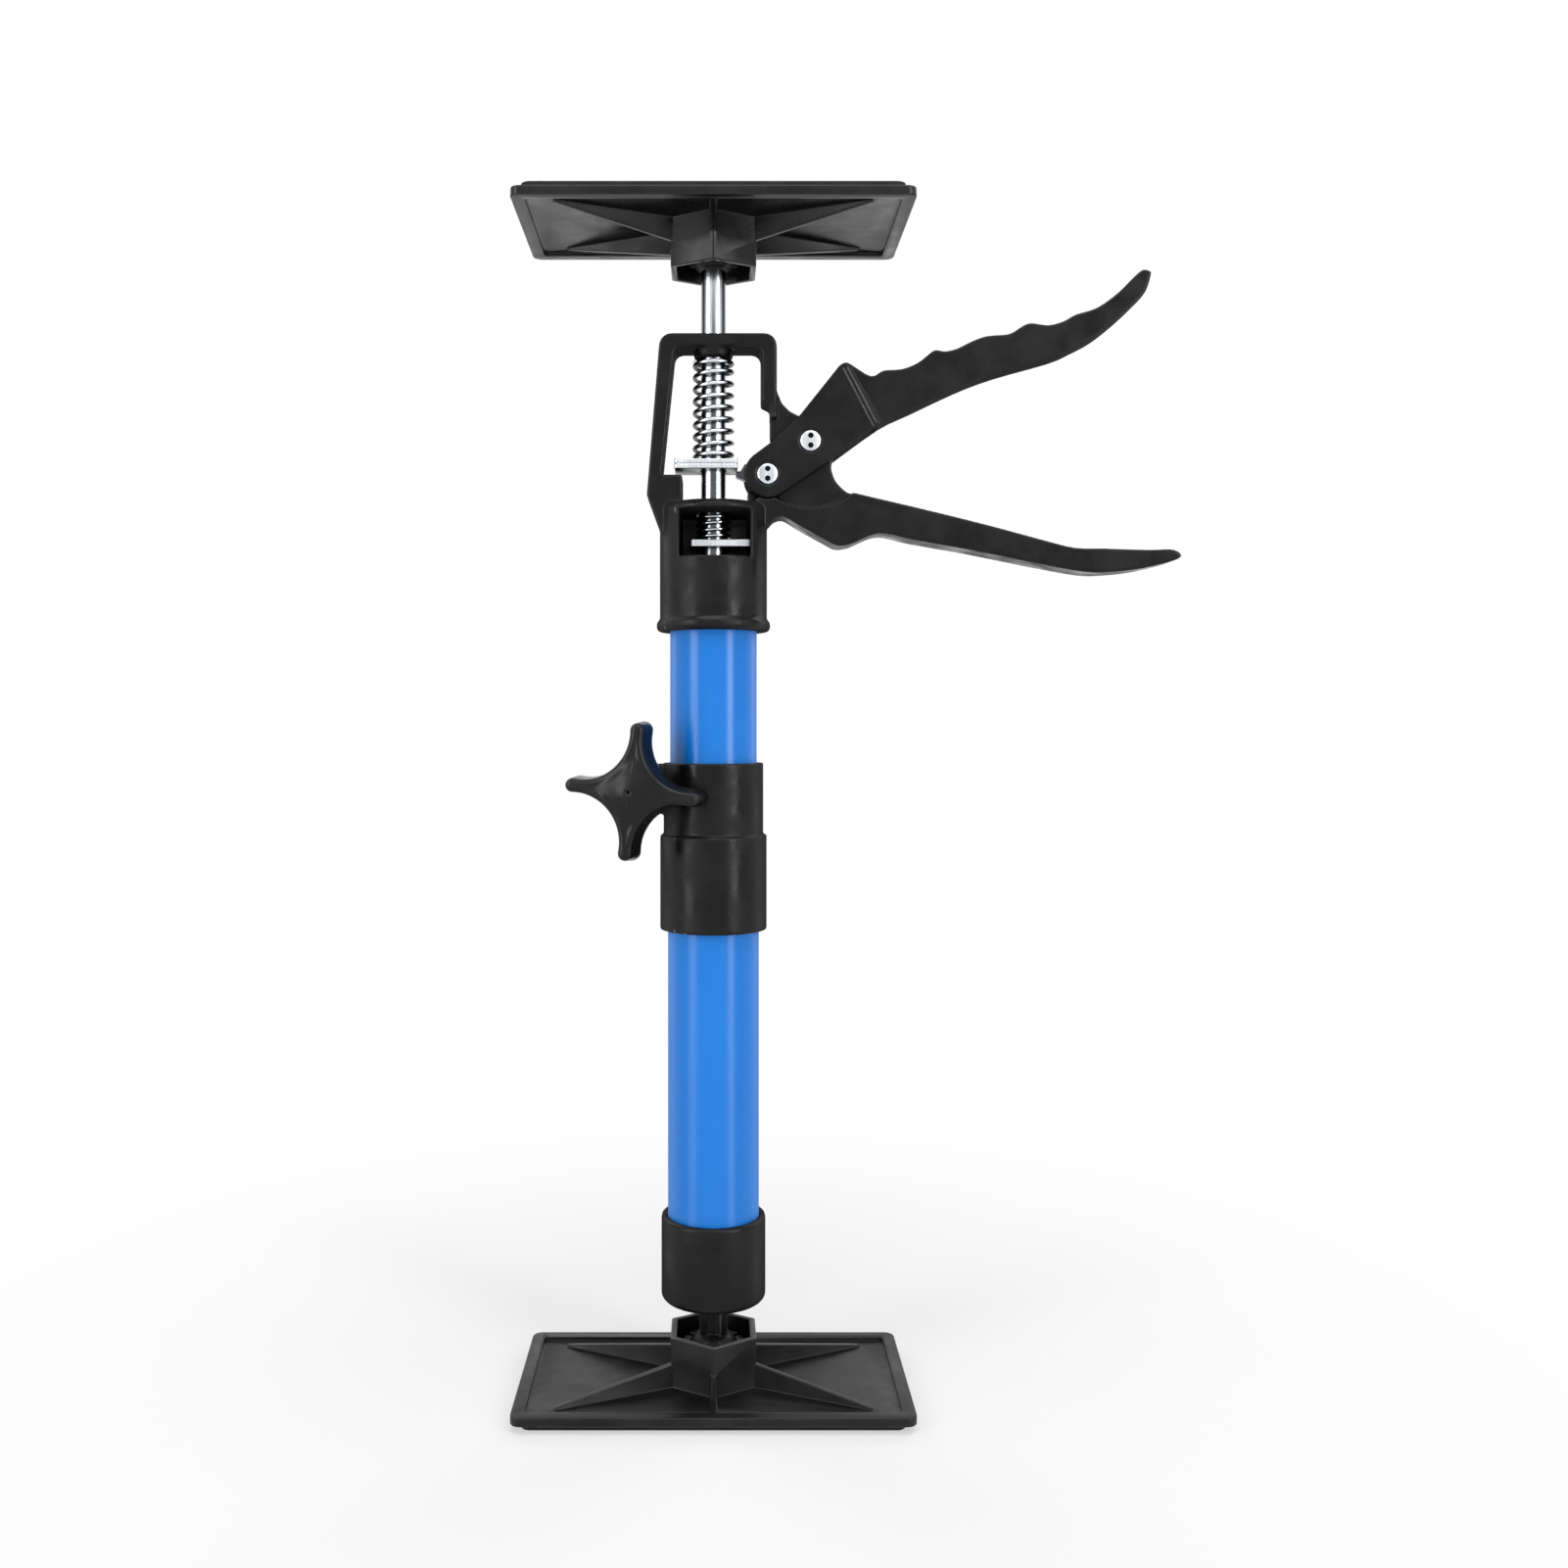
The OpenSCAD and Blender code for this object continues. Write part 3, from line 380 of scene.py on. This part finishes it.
def make_object(name, mesh, look):
    """An object at the origin with one finish, linked to the scene."""
    obj = bpy.data.objects.new(name, mesh)
    bpy.context.scene.collection.objects.link(obj)
    mesh.materials.clear()
    mesh.materials.append(FINISH[look])
    return obj


def mesh_from(work, name):
    """A new mesh with what the bmesh holds."""
    mesh = bpy.data.meshes.new(name)
    work.to_mesh(mesh)
    work.free()
    return mesh


def settle(obj):
    """The object's modifiers turned into its own plain mesh."""
    graph = bpy.context.evaluated_depsgraph_get()
    mesh = bpy.data.meshes.new_from_object(obj.evaluated_get(graph))
    old = obj.data
    obj.modifiers.clear()
    obj.data = mesh
    bpy.data.meshes.remove(old)


def soften(mesh, crisp):
    """Smooth shading that keeps edges sharper than the angle crisp."""
    mesh.polygons.foreach_set("use_smooth", [True] * len(mesh.polygons))
    mesh.set_sharp_from_angle(angle=radians(crisp))


def merged_copy(node):
    """A copy of a CAD node's mesh, and a bmesh of it with its corners merged."""
    mesh = frame["nodes"][node].data.copy()
    work = bmesh.new()
    work.from_mesh(mesh)
    bmesh.ops.remove_doubles(work, verts=work.verts, dist=SAME_CORNER)
    return mesh, work


def rounded(node, edge, segments):
    """A copy of a CAD node with every sharp edge rounded by edge millimetres."""
    mesh, work = merged_copy(node)
    bmesh.ops.dissolve_limit(work, angle_limit=radians(FLAT_ANGLE), verts=work.verts, edges=work.edges)
    bmesh.ops.dissolve_degenerate(work, edges=work.edges, dist=SHORTEST_EDGE)
    for face in work.faces:
        face.smooth = True
    sharp = [e for e in work.edges
             if len(e.link_faces) == 2 and e.calc_face_angle(0.0) > radians(BEVEL_ANGLE)]
    bmesh.ops.bevel(work, geom=sharp, offset=edge * MM, offset_type="OFFSET", segments=segments, profile=0.5,
                    affect="EDGES", clamp_overlap=False, miter_outer="SHARP", miter_inner="SHARP")
    work.to_mesh(mesh)
    work.free()
    soften(mesh, 38.0)
    return make_object(node + "_rounded", mesh, "black_plastic")


def melted(node, cell, rounds, keep):
    """A copy of a CAD node drawn again on a fine grid and smoothed, so that its edges are soft."""
    mesh, work = merged_copy(node)
    work.to_mesh(mesh)
    work.free()
    obj = make_object(node + "_moulded", mesh, "black_plastic")
    grid = obj.modifiers.new("Grid", "REMESH")
    grid.mode = "VOXEL"
    grid.voxel_size = cell * MM
    relax = obj.modifiers.new("Relax", "SMOOTH")
    relax.factor = 0.5
    relax.iterations = rounds
    fewer = obj.modifiers.new("Fewer", "DECIMATE")
    fewer.ratio = keep
    settle(obj)
    soften(obj.data, 60.0)
    return obj


def circle(radius, count, z):
    """Points round Z, evenly spaced."""
    return [(radius * cos(2 * pi * k / count), radius * sin(2 * pi * k / count), z) for k in range(count)]


def turned(name, profile, segments):
    """A solid turned about Z from (radius, height) points that start and end on the axis, in millimetres."""
    work = bmesh.new()
    rings = []
    for r, z in profile:
        points = circle(r, segments, z) if r > 0.0 else [(0.0, 0.0, z)]
        rings.append([work.verts.new(point) for point in points])
    for low, high in zip(rings, rings[1:]):
        for k in range(segments):
            n = (k + 1) % segments
            if len(low) == 1:
                work.faces.new((low[0], high[n], high[k]))
            elif len(high) == 1:
                work.faces.new((low[k], low[n], high[0]))
            else:
                work.faces.new((low[k], low[n], high[n], high[k]))
    bmesh.ops.recalc_face_normals(work, faces=work.faces)
    return mesh_from(work, name)


# Places in the frame

def body_of_node(node):
    """The CAD body that a node rides on."""
    owner = frame["nodes"][node].parent
    for name, empty in frame["bodies"].items():
        if empty == owner:
            return name
    return None


def dress(obj, node, slot):
    """A finished piece takes a node's place: the node is hidden, the piece gets the finish for the node's
    slot and rides on its body.
    """
    obj.data.materials.clear()
    obj.data.materials.append(FINISH[OWN_FINISH.get(node, slot)])
    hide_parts(node)
    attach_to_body(obj, body_of_node(node))


def attach(obj, node):
    """A small piece that replaces nothing rides on the body of the node that carries it."""
    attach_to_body(obj, body_of_node(node))


# Springs, from one Geometry Nodes tree

CLOSED_PITCH = 1.05
POINTS_A_CURL = 28
WIRE_SIDES = 14


def coil_spring_tree():
    """A wire wound round Z: closed ends of one curl each, even curls between them."""
    tree = bpy.data.node_groups.new("Coil spring", "GeometryNodeTree")
    face = tree.interface
    face.new_socket(name="Geometry", in_out="INPUT", socket_type="NodeSocketGeometry")
    for label, value in (("Coil radius", 0.0058), ("Wire radius", 0.0007), ("Foot height", 0.0),
                         ("Coil height", 0.03), ("Curls", 8.0)):
        face.new_socket(name=label, in_out="INPUT", socket_type="NodeSocketFloat").default_value = value
    for label, value in (("Points a curl", 24), ("Wire sides", 12)):
        face.new_socket(name=label, in_out="INPUT", socket_type="NodeSocketInt").default_value = value
    face.new_socket(name="Finish", in_out="INPUT", socket_type="NodeSocketMaterial")
    face.new_socket(name="Geometry", in_out="OUTPUT", socket_type="NodeSocketGeometry")
    given = tree.nodes.new("NodeGroupInput").outputs
    leave = tree.nodes.new("NodeGroupOutput")
    link = tree.links.new

    def calc(operation, a, b=None):
        return math_node(tree, operation, a, b)

    # The line's points know how many curls lie below them
    line = tree.nodes.new("GeometryNodeMeshLine")
    link(calc("ADD", calc("MULTIPLY", given["Curls"], given["Points a curl"]), 1.0), line.inputs["Count"])
    wire_line = tree.nodes.new("GeometryNodeMeshToCurve")
    link(line.outputs["Mesh"], wire_line.inputs["Mesh"])
    index = tree.nodes.new("GeometryNodeInputIndex").outputs["Index"]
    curl = calc("DIVIDE", index, given["Points a curl"])
    angle = calc("MULTIPLY", curl, 2 * pi)

    # The first and the last curl lie on their neighbours, and the rest share the height that is left
    wire = calc("MULTIPLY", given["Wire radius"], 2.0)
    span = calc("SUBTRACT", given["Coil height"], wire)
    open_curls = calc("SUBTRACT", given["Curls"], 2.0)
    free = calc("SUBTRACT", span, calc("MULTIPLY", wire, 2 * CLOSED_PITCH))
    pitch = calc("DIVIDE", free, open_curls)
    foot = calc("MINIMUM", curl, 1.0)
    middle = calc("MINIMUM", calc("MAXIMUM", calc("SUBTRACT", curl, 1.0), 0.0), open_curls)
    head = calc("MAXIMUM", calc("SUBTRACT", curl, calc("SUBTRACT", given["Curls"], 1.0)), 0.0)
    closed = calc("MULTIPLY", calc("MULTIPLY", wire, CLOSED_PITCH), calc("ADD", foot, head))
    rise = calc("ADD", closed, calc("MULTIPLY", middle, pitch))
    height = calc("ADD", calc("ADD", given["Foot height"], given["Wire radius"]), rise)

    place = tree.nodes.new("ShaderNodeCombineXYZ")
    link(calc("MULTIPLY", given["Coil radius"], calc("COSINE", angle)), place.inputs["X"])
    link(calc("MULTIPLY", given["Coil radius"], calc("SINE", angle)), place.inputs["Y"])
    link(height, place.inputs["Z"])
    wind = tree.nodes.new("GeometryNodeSetPosition")
    link(wire_line.outputs["Curve"], wind.inputs["Geometry"])
    link(place.outputs["Vector"], wind.inputs["Position"])
    section = tree.nodes.new("GeometryNodeCurvePrimitiveCircle")
    link(given["Wire sides"], section.inputs["Resolution"])
    link(given["Wire radius"], section.inputs["Radius"])
    solid = tree.nodes.new("GeometryNodeCurveToMesh")
    link(wind.outputs["Geometry"], solid.inputs["Curve"])
    link(section.outputs["Curve"], solid.inputs["Profile Curve"])
    solid.inputs["Fill Caps"].default_value = True
    real = tree.nodes.new("GeometryNodeRealizeInstances")
    link(solid.outputs["Mesh"], real.inputs["Geometry"])
    coat = tree.nodes.new("GeometryNodeSetMaterial")
    link(real.outputs["Geometry"], coat.inputs["Geometry"])
    link(given["Finish"], coat.inputs["Material"])
    link(coat.outputs["Geometry"], leave.inputs["Geometry"])
    return tree


def from_tree(name, tree, values, look):
    """A piece made by a Geometry Nodes tree, then kept as a plain mesh."""
    obj = make_object(name, bpy.data.meshes.new(name), look)
    modifier = obj.modifiers.new("Tree", "NODES")
    modifier.node_group = tree
    for item in tree.interface.items_tree:
        if item.item_type == "SOCKET" and item.in_out == "INPUT" and item.name in values:
            modifier[item.identifier] = values[item.name]
    obj.data.update()
    settle(obj)
    work = bmesh.new()
    work.from_mesh(obj.data)
    bmesh.ops.remove_doubles(work, verts=work.verts, dist=SAME_WIRE_CORNER)
    bmesh.ops.recalc_face_normals(work, faces=work.faces)
    work.to_mesh(obj.data)
    work.free()
    soften(obj.data, 45.0)
    return obj


COIL_SPRING = coil_spring_tree()


def spring_piece(node, wire, curls):
    """A spring in its node's place, wound to fill its node's box."""
    low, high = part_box(node)
    wire_r = wire * MM / 2
    values = {"Coil radius": (high[0] - low[0]) / 2 - wire_r, "Wire radius": wire_r, "Foot height": low[2],
              "Coil height": high[2] - low[2], "Curls": curls, "Points a curl": POINTS_A_CURL,
              "Wire sides": WIRE_SIDES, "Finish": FINISH["spring_steel"]}
    obj = from_tree(node + "_wound", COIL_SPRING, values, "spring_steel")
    dress(obj, node, "spring_steel")
    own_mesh(obj)


spring_piece("drive_spring", 1.35, 9.5)
spring_piece("lock_spring", 1.0, 4.5)


# Star knob

FACE_Z = KNOB_T * 0.8
FLANK = [(0.0, -0.9), (0.25, -0.1), (0.7, 0.35), (1.4, 0.46), (3.5, 0.34), (6.0, 0.12),
         (FACE_Z - KNOB_BRIM, -0.1)]
FACE_STEPS = [0.93, 0.85, 0.76, 0.67, 0.58, 0.49, 0.4, 0.31, 0.23, 0.16, 0.1, 0.06, 0.03]
BOSS_LAG = 6


def star_ring(grow, points=12, hollow=18):
    """The knob's outline in millimetres: four round arm ends and hollow arcs, larger by grow all round."""
    t = KNOB_TIP_D / 2
    c = KNOB_D / 2 - t
    deep = KNOB_WAIST / 2 - t
    away = (c * c - deep * deep) / (sqrt(2) * c - 2 * deep)
    lean = degrees(atan2(away * sin(radians(45)), away * cos(radians(45)) - c))
    reach = away - KNOB_WAIST / 2 - grow
    ring = []
    for turn in (0.0, 90.0, 180.0, 270.0):
        mid = radians(turn + 45)
        for i in range(points + 1):
            a = radians(turn - lean + 2 * lean * i / points)
            ring.append((c * cos(radians(turn)) + (t + grow) * cos(a),
                         c * sin(radians(turn)) + (t + grow) * sin(a)))
        for i in range(1, hollow):
            a = radians(turn + 180 + lean + (90 - 2 * lean) * i / hollow)
            ring.append((away * cos(mid) + reach * cos(a), away * sin(mid) + reach * sin(a)))
    return ring


def swell(x, y):
    """Height of the knob's face over its brim: a low dome, a shallow hollow round it and a dimple."""
    rho = sqrt(x * x + y * y)
    dimple = 1.1 * exp(-(rho / 0.5) ** 2)
    return 2.3 * exp(-(rho / 6.2) ** 2) - 0.35 * exp(-((rho - 10.5) / 3.2) ** 2) - dimple


def knob_piece():
    """The star knob: flared flanks, a rounded brim and a low dome with a dimple, on a round boss."""
    layers = list(FLANK)
    for i in range(1, 7):
        a = radians(15 * i)
        layers.append((FACE_Z - KNOB_BRIM + KNOB_BRIM * sin(a), -0.1 - KNOB_BRIM * (1 - cos(a))))
    work = bmesh.new()
    rings = [[work.verts.new((x, y, z)) for x, y in star_ring(grow)] for z, grow in layers]
    edge = [(v.co.x, v.co.y) for v in rings[-1]]
    for s in FACE_STEPS:
        ease = min(1.0, (1 - s) / 0.2)
        rings.append([work.verts.new((x * s, y * s, FACE_Z + ease * swell(x * s, y * s))) for x, y in edge])
    top = work.verts.new((0, 0, FACE_Z + swell(0, 0)))
    n = len(edge)
    for low, high in zip(rings, rings[1:]):
        for k in range(n):
            work.faces.new((low[k], low[(k + 1) % n], high[(k + 1) % n], high[k]))
    for k in range(n):
        work.faces.new((rings[-1][k], rings[-1][(k + 1) % n], top))
    boss = [work.verts.new(point) for point in circle(BOSS_R, n, 0.0)]
    back = [work.verts.new(point) for point in circle(BOSS_R, n, BOSS_END - KNOB_BACK)]
    for k in range(n):
        a = (k - BOSS_LAG) % n
        b = (a + 1) % n
        work.faces.new((rings[0][(k + 1) % n], rings[0][k], boss[a], boss[b]))
        work.faces.new((boss[b], boss[a], back[a], back[b]))
    work.faces.new(back)
    clamp = Matrix.Rotation(radians(180 - CLAMP_TURN), 4, "Z") @ Matrix.Scale(-1, 4, (0, 1, 0))
    seat = Matrix.Translation((BOLT_OFF, -KNOB_BACK, BOLT_Z))
    stand = Matrix.Rotation(radians(-KNOB_LEAN), 4, "Y") @ Matrix.Rotation(radians(90), 4, "X")
    bmesh.ops.transform(work, matrix=TO_METRES @ clamp @ seat @ stand, verts=work.verts)
    bmesh.ops.recalc_face_normals(work, faces=work.faces)
    mesh = mesh_from(work, "clamp_knob_star")
    soften(mesh, 50.0)
    dress(make_object("clamp_knob_star", mesh, "glossy_plastic"), "clamp_knob", "black_plastic")


knob_piece()


# Rivets and the ridge on the trigger

def rivet_piece(node):
    """A rivet with a domed head on each side and two deep dimples in each head, one over the other; dark
    discs on the dimples' floors are painted shade.
    """
    low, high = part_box(node)
    mid = [(a + b) / 2 / MM for a, b in zip(low, high)]
    half = (high[1] - low[1]) / 2 / MM
    r = RIVET_HEAD_D / 2
    profile = [(0.0, -half)]
    for i in range(1, 7):
        a = radians(15 * i)
        profile.append((r * sin(a), -half + RIVET_HEAD_T * 0.55 * (1 - cos(a))))
    profile += [(r, -half + RIVET_HEAD_T), (RIVET_SHANK_R, -half + RIVET_HEAD_T)]
    profile += [(x, -z) for x, z in reversed(profile)]
    across = TO_METRES @ Matrix.Translation(mid) @ Matrix.Rotation(radians(90), 4, "X")
    mesh = turned(node + "_domed", profile, 48)
    mesh.transform(across)
    obj = make_object(node + "_domed", mesh, "zinc_steel")

    drill = bmesh.new()
    # Dark discs on the dimples' floors: painted shade
    shade_discs = bmesh.new()
    for side in (-1, 1):
        for up in (-1, 1):
            at_face = Matrix.Translation((0, up * r * DIMPLE_OFF, side * half))
            at_floor = Matrix.Translation((0, up * r * DIMPLE_OFF, side * (half - DIMPLE_DEEP + 0.05)))
            bmesh.ops.create_cone(drill, cap_ends=True, segments=20, radius1=DIMPLE_R, radius2=DIMPLE_R,
                                  depth=2 * DIMPLE_DEEP, matrix=across @ at_face)
            bmesh.ops.create_circle(shade_discs, cap_ends=True, segments=20, radius=DIMPLE_R - 0.02,
                                    matrix=across @ at_floor)
    cutter = make_object(node + "_cutter", mesh_from(drill, node + "_cutter"), "zinc_steel")
    holes = obj.modifiers.new("Dimples", "BOOLEAN")
    holes.operation = "DIFFERENCE"
    holes.object = cutter
    settle(obj)
    bpy.data.objects.remove(cutter)
    soften(obj.data, 40.0)
    dress(obj, node, "zinc_steel")
    # The painted shade discs ride with the rivet
    name = node + "_dimple_shade"
    attach(make_object(name, mesh_from(shade_discs, name), "dimple_shade_steel"), node)


def ridge_piece():
    """The double bead between the trigger's cheeks and its grip, on both faces, in a lighter plastic that is
    a painted highlight.
    """
    a, b = (Vector((x, 0, z)) for x, z in RIDGE)
    along = (b - a).normalized()
    out = Vector((-along.z, 0, along.x))
    turn = along.to_track_quat("Z", "Y").to_matrix().to_4x4()
    work = bmesh.new()
    for side in (-1, 1):
        for shift, trim in ((0.1, 0.6), (1.35, 1.6)):
            middle = (a + b) / 2 + out * shift + Vector((0, side * (TRIGGER_W / 2 - BEAD_SUNK), 0))
            bmesh.ops.create_cone(work, cap_ends=True, segments=16, radius1=BEAD_R, radius2=BEAD_R,
                                  depth=(b - a).length - trim,
                                  matrix=TO_METRES @ Matrix.Translation(middle) @ turn)
    mesh = mesh_from(work, "trigger_beads")
    soften(mesh, 50.0)
    # The beads' lighter colour is a painted highlight
    attach(make_object("trigger_beads", mesh, "painted_highlight_plastic"), "trigger")


rivet_piece("pivot_rivet")
rivet_piece("nose_rivet")
ridge_piece()


# Pieces made from their CAD nodes, and the CAD nodes that stay

ROUNDED = [
    ("foot_mat", "mat_rubber", 0.3, 2), ("top_mat", "mat_rubber", 0.3, 2),
    ("foot_pad", "black_plastic", 0.35, 3), ("top_pad", "black_plastic", 0.35, 3),
    ("foot_ball_stud", "black_plastic", 0.3, 2), ("base_cap", "black_plastic", 0.6, 3),
    ("drive_pawl", "dark_steel", 0.25, 2),
    ("drive_plate_lower", "zinc_steel", 0.25, 2), ("drive_plate_upper", "zinc_steel", 0.25, 2),
    ("lock_plate", "zinc_steel", 0.3, 2), ("clamp_nut", "zinc_steel", 0.3, 2),
]
for node, slot, edge, segments in ROUNDED:
    dress(rounded(node, edge, segments), node, slot)

MELTED = [("head_body", 0.44, 5, 0.5), ("trigger", 0.36, 6, 0.6), ("clamp_collar", 0.4, 5, 0.6)]
for node, cell, rounds, keep in MELTED:
    dress(melted(node, cell, rounds, keep), node, "black_plastic")

KEPT = {"lower_tube": "blue_paint", "upper_tube": "blue_paint", "push_rod": "zinc_steel",
        "rod_stop": "zinc_steel", "rod_ball": "black_plastic", "clamp_bolt": "zinc_steel",
        "clamp_washer": "zinc_steel"}
for node, slot in KEPT.items():
    for spot in frame["nodes"][node].material_slots:
        spot.material = FINISH[OWN_FINISH.get(node, slot)]


# Floor and world

FLOOR_HALF = 4
FLOOR_Z = -0.0002
SHADOW_FADES = (0.09, 0.3)
SHADOW_LIFT = 0.5
ROOM_LIGHT = 0.16


def bright_rays(tree):
    """1 for the rays of the camera, of gloss and of glass, 0 for the light that falls on the object."""
    rays = tree.nodes.new("ShaderNodeLightPath").outputs
    mirrored = math_node(tree, "MAXIMUM", rays["Is Glossy Ray"], rays["Is Transmission Ray"])
    return math_node(tree, "MAXIMUM", rays["Is Camera Ray"], mirrored)


def floor_material():
    """A pale floor that keeps the object's shadow; the camera, gloss and glass see it white."""
    mat = bpy.data.materials.new("floor_white")
    mat.use_nodes = True
    tree = mat.node_tree
    shader = tree.nodes["Principled BSDF"]
    shader.inputs["Base Color"].default_value = (0.93, 0.93, 0.93, 1)
    shader.inputs["Roughness"].default_value = 0.9
    shader.inputs["Specular IOR Level"].default_value = 0.0
    where = tree.nodes.new("ShaderNodeTexCoord")
    far = tree.nodes.new("ShaderNodeVectorMath")
    far.operation = "LENGTH"
    tree.links.new(where.outputs["Object"], far.inputs[0])
    away = spread(tree, far.outputs["Value"], *SHADOW_FADES, SHADOW_LIFT, 1.0)
    glow = tree.nodes.new("ShaderNodeEmission")
    glow.inputs["Strength"].default_value = 1.0
    blend = tree.nodes.new("ShaderNodeMixShader")
    tree.links.new(math_node(tree, "MULTIPLY", away, bright_rays(tree)), blend.inputs["Fac"])
    tree.links.new(shader.outputs["BSDF"], blend.inputs[1])
    tree.links.new(glow.outputs["Emission"], blend.inputs[2])
    tree.links.new(blend.outputs["Shader"], tree.nodes["Material Output"].inputs["Surface"])
    return mat


def background(tree, strength):
    """A white background of one strength."""
    node = tree.nodes.new("ShaderNodeBackground")
    node.inputs["Color"].default_value = (1, 1, 1, 1)
    node.inputs["Strength"].default_value = strength
    return node.outputs["Background"]


FINISH["floor_white"] = floor_material()
floor_mesh = bpy.data.meshes.new("floor")
floor_mesh.from_pydata([(-FLOOR_HALF, -FLOOR_HALF, 0), (FLOOR_HALF, -FLOOR_HALF, 0),
                        (FLOOR_HALF, FLOOR_HALF, 0), (-FLOOR_HALF, FLOOR_HALF, 0)], [], [(0, 1, 2, 3)])
floor = make_object("floor", floor_mesh, "floor_white")
floor.location.z = FLOOR_Z

world = bpy.data.worlds.new("studio")
bpy.context.scene.world = world
world.use_nodes = True
sky = world.node_tree
sky.nodes.clear()
sky_out = sky.nodes.new("ShaderNodeOutputWorld")
which = sky.nodes.new("ShaderNodeMixShader")
sky.links.new(bright_rays(sky), which.inputs["Fac"])
sky.links.new(background(sky, ROOM_LIGHT), which.inputs[1])
sky.links.new(background(sky, 1.0), which.inputs[2])
sky.links.new(which.outputs["Shader"], sky_out.inputs["Surface"])


# Lamps and camera

def soft_box(name, azimuth, elevation, distance, width, height, watts):
    """A rectangular lamp that faces the pole's middle; azimuth 0 is the camera's side."""
    data = bpy.data.lights.new(name, "AREA")
    data.shape = "RECTANGLE"
    data.size = width
    data.size_y = height
    data.energy = watts
    lamp = bpy.data.objects.new(name, data)
    bpy.context.scene.collection.objects.link(lamp)
    a, e = radians(azimuth), radians(elevation)
    aim = Vector((0.0, 0.0, 0.2))
    spot = aim + Vector((sin(a) * cos(e), -cos(a) * cos(e), sin(e))) * distance
    lamp.location = spot
    lamp.rotation_euler = (aim - spot).to_track_quat("-Z", "Y").to_euler()


soft_box("left_strip", -53, 6, 1.2, 0.42, 1.5, 9.5)
soft_box("right_strip", 45, 6, 1.2, 0.3, 1.5, 10.0)
soft_box("top_box", 10, 68, 1.3, 1.0, 1.0, 9.0)
soft_box("back_left", -140, 30, 1.3, 0.6, 1.0, 3.5)
soft_box("back_right", 140, 30, 1.3, 0.6, 1.0, 3.5)

lens = bpy.data.cameras.new("photo_lens")
lens.lens = 33.5
lens.sensor_width = 36.0
lens.shift_x = 0.045
lens.shift_y = -0.0378
lens.clip_start = 0.01
camera = bpy.data.objects.new("photo_camera", lens)
bpy.context.scene.collection.objects.link(camera)
camera.location = (0.0, -0.450, 0.2046)
camera.rotation_euler = (radians(90), 0, 0)
bpy.context.scene.camera = camera
bpy.context.scene.view_settings.view_transform = "Standard"
